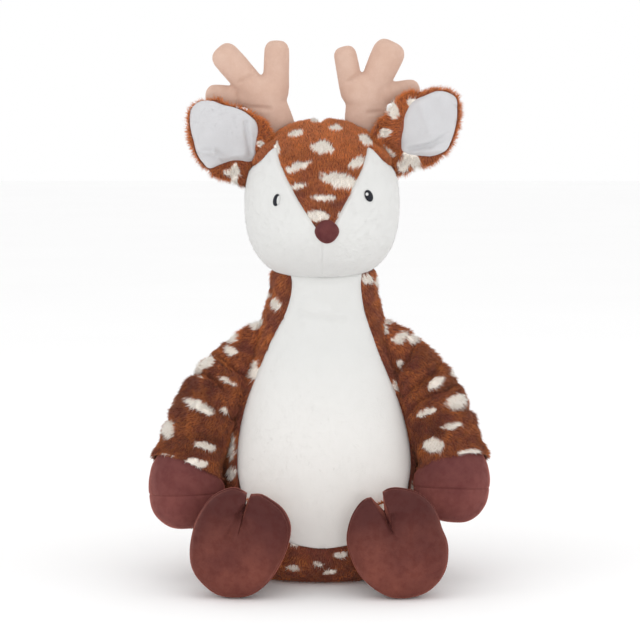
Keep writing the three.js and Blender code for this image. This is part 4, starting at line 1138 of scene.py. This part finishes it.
# White tufts of loose polyester with shadow between them, crossed threads of a zip's tape, and
# nickel scuffed where the pull rubs
GRAINED = {
    "loose_fibre": ({"roughness": 0.9, "sheen": 0.3, "specular": 0.1}, (0.006, 6.0, 0.7), (0.35, 0.65),
                    ((196, 194, 190), (244, 243, 240)), (0.8, 0.95), (0.8, 0.002)),
    "woven_tape": ({"roughness": 0.75, "sheen": 0.2, "specular": 0.25}, (0.0008, 2.0, 0.5, (1.0, 3.0, 1.0)),
                   (0.3, 0.7), ((74, 48, 40), (112, 76, 62)), (0.65, 0.85), (0.5, 0.0004)),
    "brushed_nickel": ({"roughness": 0.35, "specular": 0.5, "metallic": 1.0},
                       (0.0009, 4.0, 0.6, (1.0, 6.0, 1.0)), (0.3, 0.7), ((168, 166, 160), (212, 210, 204)),
                       (0.28, 0.5), (0.2, 0.0002)),
}
# Sheen tints of the brown and tan velours
PINK, CREAM = from_srgb(214, 128, 110), from_srgb(250, 220, 203)
# A lighter white painted low on the belly and tail: painted light.
LOW_LIT_WHITE = from_srgb(228, 225, 221)


def finish_named(name):
    """Makes each material once."""
    colours = bpy.context.scene.deer_colours
    if name not in bpy.data.materials:
        makers = {
            "spotted_fur": lambda: spotted_fur(colours),
            "white_plush": lambda: white_plush(name, colours.plush, colours.plush_shade, LOW_LIT_WHITE),
            "lining_plush": lambda: white_plush(name, colours.lining, colours.lining_shade),
            # After the sheen tint and sheen: the share of painted shade at the top, and the heights it runs
            # between.
            "hoof_velour": lambda: velour(name, (colours.hoof, colours.hoof_light, colours.hoof_dark), PINK,
                                          0.8, 0.85, 0.036, 0.078),
            "hand_velour": lambda: velour(name, (colours.hand, colours.hand_light, colours.hand_dark), PINK,
                                          0.8, 0.7, 0.075, 0.125),
            "nose_velour": lambda: velour(name, (colours.nose, colours.hand, colours.nose_dark), PINK, 0.5),
            "antler_velour": lambda: velour(name, (colours.antler, colours.antler_light, colours.antler_dark),
                                            CREAM, 0.45),
            "eye_stitching": lambda: eye_stitching(colours),
            "bean_bag_cotton": bean_bag_cotton,
        }
        if name in GRAINED:
            grained(name, *GRAINED[name])
        else:
            makers[name]()
    return bpy.data.materials[name]


def length(name, description, default):
    return FloatProperty(name=name, description=description, default=default, unit="LENGTH")


class DeerSizes(PropertyGroup):
    pile_length: length("Pile length", "Length of the brown pile", 0.0038)
    plush_length: length("Plush length", "Length of the white pile", 0.0011)
    strand_width: length("Strand width", "Half the width of a strand at its root", 0.00027)
    density: FloatProperty(name="Pile density", description="Strands on each square millimetre", default=1.8)
    seam_depth: length("Seam depth", "How far the seams draw the skins in", 0.0016)
    skin: length("Skin thickness", "Thickness of the sewn skins", 0.0021)
    camera_distance: length("Camera distance", "From the deer to the camera", 1.9)


def shade(name, description, *screen):
    return FloatVectorProperty(name=name, description=description, default=from_srgb(*screen), size=4,
                               subtype="COLOR", min=0.0, max=1.0)


class DeerColours(PropertyGroup):
    # Painted shade: the pile's root colour is darker for the shade deep in the pile.
    fur_root_shade: shade("Fur root", "Brown pile at the skin", 102, 50, 41)
    fur_tip: shade("Fur tip", "Brown pile at its ends", 174, 98, 75)
    # Rust colour of the pile, also used as painted light on the ears' rims.
    fur_rust_and_rim_light: shade("Fur rust", "The rusty patches of the brown pile", 238, 140, 76)
    # Painted shade: the spots too are darker at the root.
    spot_root_shade: shade("Spot root", "The printed spots at the skin", 248, 240, 230)
    spot_tip: shade("Spot tip", "The printed spots at the pile's ends", 255, 251, 244)
    plush: shade("Plush", "The white plush", 214, 214, 212)
    plush_shade: shade("Plush shade", "The white plush in its folds", 210, 210, 208)
    lining: shade("Lining", "The ears' linings", 201, 201, 203)
    lining_shade: shade("Lining shade", "The ears' linings in their folds", 193, 192, 194)
    # Each velour: a base with lighter and darker copies for its nap's patches, which paint the sheen.
    hoof: shade("Hoof", "Brown velour", 94, 47, 42)
    hoof_light: shade("Hoof light", "Brown velour, nap toward the light", 132, 74, 61)
    hoof_dark: shade("Hoof dark", "Brown velour, nap away from the light", 68, 32, 31)
    hand: shade("Hand", "Velour of the arms' hooves", 108, 57, 54)
    hand_light: shade("Hand light", "The same, nap toward the light", 136, 78, 71)
    hand_dark: shade("Hand dark", "The same, nap away from the light", 74, 38, 41)
    nose: shade("Nose", "Velour of the nose", 80, 38, 43)
    nose_dark: shade("Nose dark", "The same, nap away from the light", 58, 26, 31)
    antler: shade("Antler", "Tan velour", 201, 168, 150)
    antler_light: shade("Antler light", "Tan velour, nap toward the light", 212, 184, 168)
    antler_dark: shade("Antler dark", "Tan velour, nap away from the light", 186, 150, 134)
    thread: shade("Thread", "Stitching of the eyes", 20, 22, 36)


class DEER_OT_torso(Operator):
    """White belly, spotted side panels and the base they stand on"""
    bl_idname = "deer.torso"
    bl_label = "Torso panels"

    def execute(self, context):
        belly = plush_skin("belly_plush", belly_grid(), TORSO_MIDDLE, combed(0, 0, -1), [], 101, white=True)
        dress(belly, "white_plush", "belly_panel", "torso")
        for index, (side, sign) in enumerate(SIDES.items()):
            grid = side_grid(side)
            spots = TORSO_SPOTS + strewn(grid, 16, 500 + index, lambda p: p[1] > -6)
            piece = plush_skin(f"side_fur_{side}", grid, TORSO_MIDDLE, combed(sign * 0.35, 0.1, -1), spots,
                               110 + index, crowd=0.77, floor=0.3)
            dress(piece, "spotted_fur", f"side_panel_{side}", "torso")
        grid, middle = base_grid(), (0, 0, 20)
        grid = drawn_in(grid, normals_of(grid, True, middle), millimetres("seam_depth"), 4.0)
        facing = normals_of(grid, True, middle)

        def keep(roots):
            """Less pile on the underside, and none where the zip is."""
            x, y, z = roots.T
            clear = (np.abs(x) > 46) | (np.abs(y - ZIP_BACK) > 9)
            return (z > 1.2) | (np.random.default_rng(7).random(len(roots)) < 0.3) & clear

        base = furry("base_fur", shell(grid, grid - facing * 1.6, True), (grid, True, 1.0, facing),
                     lambda roots: roots * np.array([1.0, 1.0, 0.0]) + np.array([0, 0, -20.0]), BASE_SPOTS,
                     3.4, 0.3, 0.35, 121, floor=0.15, keep=keep)
        dress(base, "spotted_fur", "base_panel", "torso")
        return {"FINISHED"}


class DEER_OT_head(Operator):
    """Head: spotted gusset and back, white cheeks"""
    bl_idname = "deer.head"
    bl_label = "Head panels"

    def execute(self, context):
        for index, (side, sign) in enumerate(SIDES.items()):
            cheek = plush_skin(f"cheek_plush_{side}", cheek_grid(side), HEAD_MIDDLE,
                               combed(sign * 0.8, 0.3, -0.5), [], 201 + index, white=True,
                               seam_share=ease(np.linspace(0, 1, CHEEK_COLUMNS), 0.02, 0.12))
            dress(cheek, "white_plush", f"cheek_{side}", "head")
        gusset = plush_skin("gusset_fur", gusset_grid(), HEAD_MIDDLE, combed(0, 0.5, 1), GUSSET_SPOTS, 211,
                            crowd=1.25, stretch=0.75)
        dress(gusset, "spotted_fur", "forehead_gusset", "head")
        grid = head_back_grid()
        back = plush_skin("head_back_fur", grid, HEAD_MIDDLE, combed(0, 0.2, -1),
                          strewn(grid, 15, 520, lambda p: p[1] > 14), 212, crowd=0.9)
        dress(back, "spotted_fur", "head_back_panel", "head")
        return {"FINISHED"}


class DEER_OT_face(Operator):
    """Velour nose and stitched eyes"""
    bl_idname = "deer.face"
    bl_label = "Nose and eyes"

    def execute(self, context):
        lie, turn = cells(np.linspace(0, math.pi, 40), around(64))
        # The nose is a rounded pad, a little wider above its middle, domed in front and flat behind
        girth = np.sin(lie) ** 0.75
        high = -np.cos(lie)
        x = np.cos(turn) * girth * 9.0 * (1 - 0.1 * np.maximum(-np.sin(turn), 0) * girth)
        z = np.sin(turn) * girth * 8.6 * (1 - 0.08 * np.abs(np.cos(turn)) ** 2)
        y = -high * np.where(high > 0, 6.4, 2.0)
        grid = np.stack([x + 3.4, y - 67.6, z + 258.3], -1)
        grid = grid + 0.4 * noise(grid, 5, 61)[..., None] * unit(grid - np.array([3.4, -67, 258.3]))
        dress(to_object("nose_velour", *solid(grid)), "nose_velour", "nose", "head")
        share, turns = np.linspace(0, 1, 22)[:, None], around(64)[None]
        for side, sign in SIDES.items():
            aside, rise, wide, lean, _, (mark_x, mark_z, mark_wide, mark_high) = EYES[side]
            u, v = share * np.cos(turns) * wide, share * np.sin(turns) * 4.5
            x = aside + u * math.cos(lean) - v * math.sin(lean) * sign
            z = HEAD_AT + rise + v * math.cos(lean) + u * math.sin(lean) * sign
            girth, deep = head_half_deep(z)
            level = np.sqrt(np.clip(1 - (x / (girth * HEAD_WIDE)) ** 2, 0, 1))
            skin = -HEAD_FORWARD - level * deep - muzzle(z) * level ** 4 + dimple(side, x, z)
            ridge = 0.16 * np.sin((x * 0.6 + z) * TURN / 0.8)
            front = np.stack([x, skin - 0.6 - (1 - share ** 3) * (1.3 + ridge), z], -1)
            back = np.stack([x, skin + 0.3 + 0 * u, z], -1)
            points, faces = shell(front, back, True)
            glint = ((points[:, 0] - aside - mark_x) / mark_wide) ** 2 + (
                (points[:, 2] - HEAD_AT - rise - mark_z) / mark_high) ** 2
            white = (glint < 1).astype(float)
            pile = np.stack([white * 0, white * 0, white, white * 0], -1)
            eye = to_object(f"eye_stitches_{side}", points, faces, pile)
            dress(eye, "eye_stitching", f"eye_{side}", "head")
        return {"FINISHED"}


class DEER_OT_ears(Operator):
    """Ears: a furred leaf behind and a smooth folded lining in front"""
    bl_idname = "deer.ears"
    bl_label = "Ears"

    def execute(self, context):
        for index, side in enumerate(SIDES):
            grid = ear_grid(side)
            middle = grid.mean((0, 1))
            front, back, *lining_outline = lining_grid(side)
            leaf_outline = outline_of(EAR_EDGE[side])
            hub = np.array([leaf_outline[0][0], 0, leaf_outline[0][1]])

            def keep(roots):
                """No pile under the lining, nor where the ear is sewn into the head."""
                off, reach = out_to(roots, *lining_outline)
                behind = roots[:, 1] > ear_depth(side, roots[:, 0], roots[:, 2]) + 2.4
                return (~(off < reach * 0.99) | behind) & ~in_head(roots, -3)

            def comb(roots):
                return unit((roots - hub) * np.array([1, 0.15, 1])) + np.array([0, -0.15, -0.15])

            # Painted light: toward the leaf's edge the pile nears the rust colour, as if the rim caught light
            # from behind.
            def rust_and_rim_light(roots):
                off, reach = out_to(roots, *leaf_outline)
                return ease(off / reach, 0.8, 0.98)

            spots = EAR_SPOTS[side] + strewn(grid, 5, 530 + index, lambda p: p[1] > ear_depth(
                side, p[0], p[2]) + 4 and rust_and_rim_light(p[None])[0] < 0.1)
            ear = furry(f"ear_fur_{side}", solid(grid), (grid, True, 2.1, normals_of(grid, True, middle)), comb,
                        spots, 3.6, 0.26, 0.45, 301 + index, keep=keep, rust_and_rim_light=rust_and_rim_light,
                        length_of=lambda roots: 1 + 0.35 * rust_and_rim_light(roots))
            dress(ear, "spotted_fur", f"ear_{side}_back", f"ear_{side}")
            facing = normals_of(front, True, middle + np.array([0, 8, 0]))
            lining = furry(f"ear_plush_{side}", shell(front, back, True), (front, True, 0.7, facing), comb, [],
                           1.2, 0.1, 0.8, 311 + index, tangle=0.25)
            dress(lining, "lining_plush", f"ear_{side}_lining", f"ear_{side}")
        return {"FINISHED"}


def remeshed(piece, voxel, smooth):
    """Joins overlapping closed forms into one skin by a voxel remesh, then relaxes it."""
    remesh = piece.modifiers.new("one_skin", "REMESH")
    remesh.mode, remesh.voxel_size = "VOXEL", voxel
    relax = piece.modifiers.new("relax", "SMOOTH")
    relax.factor, relax.iterations = 0.5, smooth
    settle(piece)


def settle(piece):
    """Puts what a piece's modifiers make into its mesh."""
    result = bpy.data.meshes.new_from_object(piece.evaluated_get(bpy.context.evaluated_depsgraph_get()))
    old = piece.data
    piece.modifiers.clear()
    piece.data = result
    result.name = old.name
    bpy.data.meshes.remove(old)
    piece.data.shade_smooth()


def points_of(piece):
    flat = np.zeros(len(piece.data.vertices) * 3, np.float32)
    piece.data.vertices.foreach_get("co", flat)
    return flat.reshape(-1, 3).astype(float) / MM


def set_points(piece, points):
    piece.data.vertices.foreach_set("co", (points * MM).astype(np.float32).ravel())
    piece.data.update()


def puffed(piece, held, cap, pressure=4.0):
    """Blows a skin up as cloth: it is held where its seams are, the cloth gives under the pressure for
    20 frames, and no point moves further than the cap."""
    scene = bpy.context.scene
    start = points_of(piece)
    group = piece.vertex_groups.new(name="held")
    for weight in (0.35, 0.7, 1.0):
        chosen = np.nonzero((held > weight - 0.2) & (held <= weight + 0.16))[0]
        if len(chosen):
            group.add([int(i) for i in chosen], weight, "REPLACE")
    cloth = piece.modifiers.new("puff", "CLOTH")
    cloth.settings.use_pressure = True
    cloth.settings.uniform_pressure_force = pressure
    cloth.settings.effector_weights.gravity = 0
    cloth.settings.vertex_group_mass = "held"
    cloth.settings.tension_stiffness = cloth.settings.compression_stiffness = 15
    cloth.settings.bending_stiffness = 0.5
    cloth.settings.quality = 6
    cloth.collision_settings.use_collision = False
    cloth.point_cache.frame_start, cloth.point_cache.frame_end = 1, 20
    for number in range(1, 21):
        scene.frame_set(number)
        bpy.context.view_layer.update()
    settle(piece)
    moved = points_of(piece) - start
    size = np.linalg.norm(moved, axis=1, keepdims=True)
    set_points(piece, start + moved * np.minimum(1, cap / np.maximum(size, 1e-6)))
    piece.vertex_groups.clear()
    scene.frame_set(1)


class DEER_OT_antlers(Operator):
    """Stuffed velour antlers, three tines each"""
    bl_idname = "deer.antlers"
    bl_label = "Antlers"

    def execute(self, context):
        for side, sign in SIDES.items():
            forms = [solid(grid) for grid in antler_parts(side)]
            counts = np.cumsum([0] + [len(points) for points, _ in forms])
            faces = [f + counts[k] for k, (_, kinds) in enumerate(forms) for f in kinds if len(f)]
            piece = to_object(f"antler_velour_{side}", np.concatenate([points for points, _ in forms]), faces)
            remeshed(piece, 0.0013, 7)
            root = np.array(ANTLER_ROOT[side])
            puffed(piece, bell(points_of(piece)[:, 1] - root[1], 1.2) * 0.9, 1.6)
            points = points_of(piece)
            out, up = (points[:, 0] - root[0]) * sign / ANTLER_HIGH, (points[:, 2] - root[2]) / ANTLER_HIGH
            dent = 0
            for x0, z0, x1, z1 in ANTLER_FOLDS[side]:
                way = unit(np.array([x1 - x0, z1 - z0]))
                long = math.hypot(x1 - x0, z1 - z0)
                run = (out - x0) * way[0] + (up - z0) * way[1]
                off = ((out - x0) * way[1] - (up - z0) * way[0]) * ANTLER_HIGH
                dent = dent + bell(off, 1.15) * ease(run, -0.03, 0.05) * (
                    1 - ease(run, long - 0.05, long + 0.04))
            points[:, 1] += np.where(points[:, 1] < root[1], 1.0, -1.0) * (1.8 * np.minimum(dent, 1))
            points += 0.5 * noise(points, 11, 71)[:, None] * unit(points - root)
            set_points(piece, points)
            dress(piece, "antler_velour", f"antler_{side}", f"antler_{side}")
        return {"FINISHED"}


class DEER_OT_arms(Operator):
    """Furred sleeves that end in a hem over velour hooves"""
    bl_idname = "deer.arms"
    bl_label = "Arms"

    def execute(self, context):
        turns = around(120)[None]
        for index, (side, sign) in enumerate(SIDES.items()):
            at, cuff, seam = arm_tube(side)[0], arm_run(side, CUFF_DOWN), arm_run(side, SOLE_DOWN)
            hem = cuff_run(side, cuff, turns)
            start = emerging(at, cuff * 0.7, turns)
            share = np.linspace(0, 1, 130)[:, None]
            run = start + (hem - start) * share
            grid = at(run, turns)
            normals = normals_of(grid, True, grid.mean((0, 1)))
            outer = np.maximum(-sign * np.cos(turns), 0)
            slim = -2.4 * ease(share, 0.3, 0.8) + (1.0 + 2.2 * outer) * ease(share, 0.9, 1.0)
            grid = grid + normals * (slim + 1.0 * noise(grid, 17, 81 + index))[..., None]
            grid = grid - normals * crumpled(turns, run, side)[..., None]
            middle = grid.mean((0, 1))
            normals = normals_of(grid, True, middle)
            grid = drawn_in(grid, normals, 1.8, 3.5)
            inner = grid - normals * np.interp(share, [0, 0.88, 1], [2.0, 2.0, 1.5])[..., None]

            def comb(roots):
                """Up and out on the shoulder, down toward the hem."""
                low = ease(roots[:, 2], 112, 92)[:, None]
                up, down = np.array([sign * 0.5, -0.1, 0.25]), np.array([sign * 0.35, -0.2, -1.0])
                return up * (1 - low) * 0.6 + down * (0.5 + low)

            spots = ARM_SPOTS[side] + strewn(grid, 11, 540 + index, lambda p: p[1] > -14)
            sleeve = furry(f"sleeve_fur_{side}", shell(grid, inner, True),
                           (grid, True, 1.8, normals_of(grid, True, middle)), comb, spots,
                           millimetres("pile_length"), millimetres("strand_width"), 0.6, 401 + index,
                           keep=lambda roots: ~in_torso(roots, -2.5),
                           length_of=lambda roots: 0.62 + 0.38 * ease(roots[:, 2], 88, 102))
            dress(sleeve, "spotted_fur", f"arm_{side}_sleeve")
            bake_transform(sleeve)
            share = np.linspace(0, 1, 70)[:, None]
            for name in ("upper", "sole"):
                upper = name == "upper"
                if upper:
                    run = hem - 0.022 + (seam - hem + 0.022) * share
                else:
                    run = seam + (1 - seam) * share ** 0.8 + 0 * hem
                grid = at(run, turns)
                normals = normals_of(grid, True, grid.mean((0, 1)))
                draw = 0.45 * bell(run - seam, 0.0045)
                tuck = 2.6 * (1 - ease(run, hem - 0.02, hem + 0.03)) if upper else 0
                soft = 1.1 * noise(grid, 16, 91 + index) + 1.2 * ease(run, hem, hem + 0.08) * (
                    1 - ease(run, 0.9, 1.0))
                grid = grid + normals * (soft - draw - tuck)[..., None]
                if upper:
                    skin = shell(grid, grid - normals * 1.8, True)
                else:
                    cap = to_middle(grid[:1], np.linspace(1, 0, 8)[1:], (0, 0, -0.15))
                    skin = solid(np.concatenate([cap[::-1], grid]))
                dress(to_object(f"hoof_{name}_{side}", *skin), "hand_velour", f"hand_{side}_{name}",
                      f"arm_{side}")
        return {"FINISHED"}


class DEER_OT_legs(Operator):
    """Short furred legs that end in big cloven feet with their soles in front"""
    bl_idname = "deer.legs"
    bl_label = "Legs"

    def execute(self, context):
        for index, (side, sign) in enumerate(SIDES.items()):
            at, cuff, seam = leg_path(side)
            turns = around(110)[None]
            start = np.minimum(emerging(at, cuff * 0.9, turns), cuff - 0.06)
            share = np.linspace(0, 1, 60)[:, None]
            run = start + (cuff + 0.012 - start) * share
            grid = at(run, turns)
            # The leg sinks behind its cleft, so that the belly shows through
            dip = {"left": 0.38, "right": 0.15}[side] * bell(wrapped(turns - mouth_turn(side)), 0.42) * ease(
                run, 0.15, cuff)
            core = grid.mean(1, keepdims=True)
            grid = core + (grid - core) * (1 - dip)[..., None]
            grid[..., 2] = np.maximum(grid[..., 2], 1.0)
            middle = grid.mean((0, 1))
            normals = normals_of(grid, True, middle)
            grid = drawn_in(grid, normals, 1.5, 3) + normals * (1.6 * ease(share, 0.8, 1))[..., None]
            grid[..., 2] = np.maximum(grid[..., 2], 1.0)
            sleeve = furry(f"leg_fur_{side}", shell(grid, grid - normals * 1.9, True),
                           (grid, True, 1.6, normals_of(grid, True, middle)), combed(0, -0.6, -0.5),
                           strewn(grid, 6, 550 + index, lambda p: p[2] > 30),
                           millimetres("pile_length"), millimetres("strand_width"), 0.55, 421 + index,
                           floor=0.2, keep=lambda roots: ~in_torso(roots, -2.5))
            dress(sleeve, "spotted_fur", f"leg_{side}_sleeve")
            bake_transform(sleeve)
            turns = foot_turns(side)[None]
            for name, low, high, rows in (("upper", cuff - 0.015, seam, 60), ("sole", seam, 1.0, 90)):
                upper = name == "upper"
                run = low + (high - low) * np.linspace(0, 1, rows)[:, None]
                grid = at(run, turns)
                middle = grid.mean((0, 1))
                off = np.abs(wrapped(turns - mouth_turn(side)))
                draw = 1.2 * bell(run - seam, 0.008) * ease(off, 0.16, 0.3)
                soft = 0.9 * noise(grid, 18, 95 + index) * ease(np.abs(run - seam), 0, 0.05)
                tuck = 1.8 * (1 - ease(run, cuff - 0.01, cuff + 0.025)) if upper else 0
                grid = grid + normals_of(grid, True, middle) * (soft - draw - tuck)[..., None]
                grid = cloven(grid, side)
                grid[..., 2] = np.maximum(grid[..., 2], 0.5 + 0.02 * np.abs(grid[..., 2]))
                if upper:
                    skin = shell(grid, grid - normals_of(grid, True, middle) * 1.2, True)
                else:
                    cap = to_middle(grid[:1], np.linspace(1, 0, 10)[1:], (0, -0.25, 0))
                    skin = solid(np.concatenate([cap[::-1], grid]))
                dress(to_object(f"foot_{name}_{side}", *skin), "hoof_velour", f"foot_{side}_{name}",
                      f"leg_{side}")
        return {"FINISHED"}


class DEER_OT_tail(Operator):
    """A flat tail, fur above and white below"""
    bl_idname = "deer.tail"
    bl_label = "Tail"

    def execute(self, context):
        share, wide = TAIL_ROWS.T
        along = unit(np.array([0, 40.0, 22.0]))
        centres = np.array(TAIL_ROOT) + share[:, None] * 40 * along
        at, _ = path(centres, np.stack([wide * 15, wide * 8], 1), (1, 0, 0))
        for name, low, node, white in (("tail_fur", math.pi, "tail_top", False),
                                       ("tail_plush", 0, "tail_underside", True)):
            grid = at(np.linspace(0.0, 1, 50)[:, None], np.linspace(low, low + math.pi, 40)[None])
            piece = plush_skin(name, grid, (0, 85.0, 56.0), combed(*along), [(0, 98, 68, 4, 4, 0)], 440 + white,
                               white=white, stretch=1.1 if white else 1.0,
                               keep=lambda roots: ~in_torso(roots, -1.0))
            dress(piece, "white_plush" if white else "spotted_fur", node, "tail")
        return {"FINISHED"}


class DEER_OT_filling(Operator):
    """Fibre pods in the torso, head and limbs, and the bag of beans that keeps the deer sitting"""
    bl_idname = "deer.filling"
    bl_label = "Filling"

    def execute(self, context):
        def lumpy(name, grid, centre, lump, node, body):
            grid = grid + lump * noise(grid, 12, 97)[..., None] * normals_of(grid, True, centre)
            pod = to_object(name, *solid(grid))
            dress(pod, "loose_fibre", node, body)
            return pod

        turns = around(80)[None]
        wall = torso_at(turns, np.linspace(5.2, 222, 90)[:, None], -4.6)
        lumpy("torso_pod", poled(wall, 12), TORSO_MIDDLE, 0.8, "torso_stuffing", "torso")
        head = head_at(turns, np.linspace(1e-3, math.pi - 1e-3, 90)[:, None], -7.5)
        lumpy("head_pod", head, HEAD_MIDDLE, 0.8, "head_stuffing", "head")
        for side in SIDES:
            grid = arm_tube(side)[0](np.linspace(arm_run(side, 0.14), 0.995, 80)[:, None], turns, -6.5)
            pod = lumpy(f"arm_pod_{side}", poled(grid), grid.mean((0, 1)), 0.6, f"arm_{side}_stuffing",
                        None)
            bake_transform(pod)
            grid = leg_path(side)[0](np.linspace(0.3, 0.72, 70)[:, None], turns, -8.0)
            grid[..., 1] = np.maximum(grid[..., 1], -98)
            grid[..., 2] = np.minimum(grid[..., 2], FOOT_MIDDLE_HIGH + 9)
            lumpy(f"leg_pod_{side}", poled(grid), grid.mean((0, 1)), 0.6, f"leg_{side}_stuffing",
                  f"leg_{side}")
        lie = np.linspace(0, math.pi, 50)[:, None]
        bag = np.stack([43 * np.sin(lie) * np.cos(turns), 6 + 43 * np.sin(lie) * np.sin(turns),
                        17 - 11.5 * np.cos(lie) * np.abs(np.cos(lie)) ** 0.1 + 0 * turns], -1)
        bag = bag + 0.35 * noise(bag, 4, 98)[..., None]
        dress(to_object("beans_in_cotton", *solid(bag)), "bean_bag_cotton", "bean_bag", "torso")
        return {"FINISHED"}


class DEER_OT_zip(Operator):
    """The zip below: woven tape with its teeth, and the metal slider and pull"""
    bl_idname = "deer.zip"
    bl_label = "Zip"

    def execute(self, context):
        for node in ("zip_slider", "zip_pull"):
            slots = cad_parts[node].data.materials
            slots.clear()
            slots.append(finish_named("brushed_nickel"))
        x, y = cells(np.linspace(-45, 45, 241), np.linspace(-9, 9, 19))
        teeth = (np.abs(y) < 2.3) * (np.abs(x) < 41.7)
        chain = 0.9 * teeth * (0.72 + 0.28 * np.sign(np.sin(x * TURN / 1.5 + (y > 0) * 3.1)))
        weave = 0.08 * np.sin(x * TURN) * np.sin(y * TURN / 1.5)
        under = np.stack([x, y + ZIP_BACK, 3.35 - chain + weave * (chain == 0)], -1)
        over = np.stack([x, y + ZIP_BACK, 4.25 + 0 * x], -1)
        tape = to_object("zip_tape_woven", *shell(under, over, False))
        dress(tape, "woven_tape", "zip_tape", "torso")
        return {"FINISHED"}


class DEER_OT_stage(Operator):
    """Pale floor, soft studio light and the camera at the photograph's angle"""
    bl_idname = "deer.stage"
    bl_label = "Stage"

    def execute(self, context):
        scene = context.scene
        corners = 9e3 * np.array([[-1, -1, 0], [1, -1, 0], [1, 1, 0], [-1, 1, 0.0]])
        floor = to_object("floor", *weld(corners, np.array([[0, 1, 2, 3]])))
        paper = Finish("pale_floor", 0.9, specular=0.1)
        paper.colour(paper.mix(paper.noise(0.4, 2.0), from_srgb(250, 250, 250), from_srgb(253, 253, 253)))
        floor.data.materials.append(paper.material)
        world = scene.world = bpy.data.worlds.new("studio")
        world.use_nodes = True
        sky = world.node_tree.nodes["Background"]
        sky.inputs["Color"].default_value = (1, 1, 1, 1)
        sky.inputs["Strength"].default_value = 1.0
        for name, place, size, power in LAMPS:
            light = bpy.data.lights.new(name, "AREA")
            light.size, light.energy = size, power
            lamp = bpy.data.objects.new(name, light)
            lamp.location = place
            aim = np.array([0, 0, 0.18]) - place
            lamp.rotation_euler = (math.acos(-aim[2] / np.linalg.norm(aim)), 0,
                                   math.atan2(aim[1], aim[0]) - math.pi / 2)
            scene.collection.objects.link(lamp)
        tilt, distance = math.radians(5.0), scene.deer_sizes.camera_distance
        camera = bpy.data.cameras.new("camera")
        camera.sensor_width, camera.lens = 36, 142.48
        eye = bpy.data.objects.new("camera", camera)
        eye.location = (-0.0015, -distance * math.cos(tilt), 0.1886 + distance * math.sin(tilt))
        eye.rotation_euler = (math.pi / 2 - tilt, 0, 0)
        scene.collection.objects.link(eye)
        scene.camera = eye
        scene.view_settings.view_transform = "Standard"
        return {"FINISHED"}


OPERATORS = (DEER_OT_stage, DEER_OT_torso, DEER_OT_head, DEER_OT_face, DEER_OT_ears, DEER_OT_antlers,
             DEER_OT_arms, DEER_OT_legs, DEER_OT_tail, DEER_OT_filling, DEER_OT_zip)


class DEER_PT_panel(Panel):
    bl_label = "Plush deer"
    bl_idname = "DEER_PT_panel"
    bl_space_type = "VIEW_3D"
    bl_region_type = "UI"
    bl_category = "Deer"

    def draw(self, context):
        for group in (context.scene.deer_sizes, context.scene.deer_colours):
            for key in group.__annotations__:
                self.layout.prop(group, key)
        for operator in OPERATORS:
            self.layout.operator(operator.bl_idname)


CLASSES = (DeerSizes, DeerColours, *OPERATORS, DEER_PT_panel)


def register():
    for kind in CLASSES:
        bpy.utils.register_class(kind)
    bpy.types.Scene.deer_sizes = PointerProperty(type=DeerSizes)
    bpy.types.Scene.deer_colours = PointerProperty(type=DeerColours)


def unregister():
    del bpy.types.Scene.deer_colours
    del bpy.types.Scene.deer_sizes
    for kind in reversed(CLASSES):
        bpy.utils.unregister_class(kind)


def main():
    register()
    for operator in OPERATORS:
        getattr(bpy.ops.deer, operator.bl_idname.split(".")[1])()


if __name__ == "__main__":
    main()
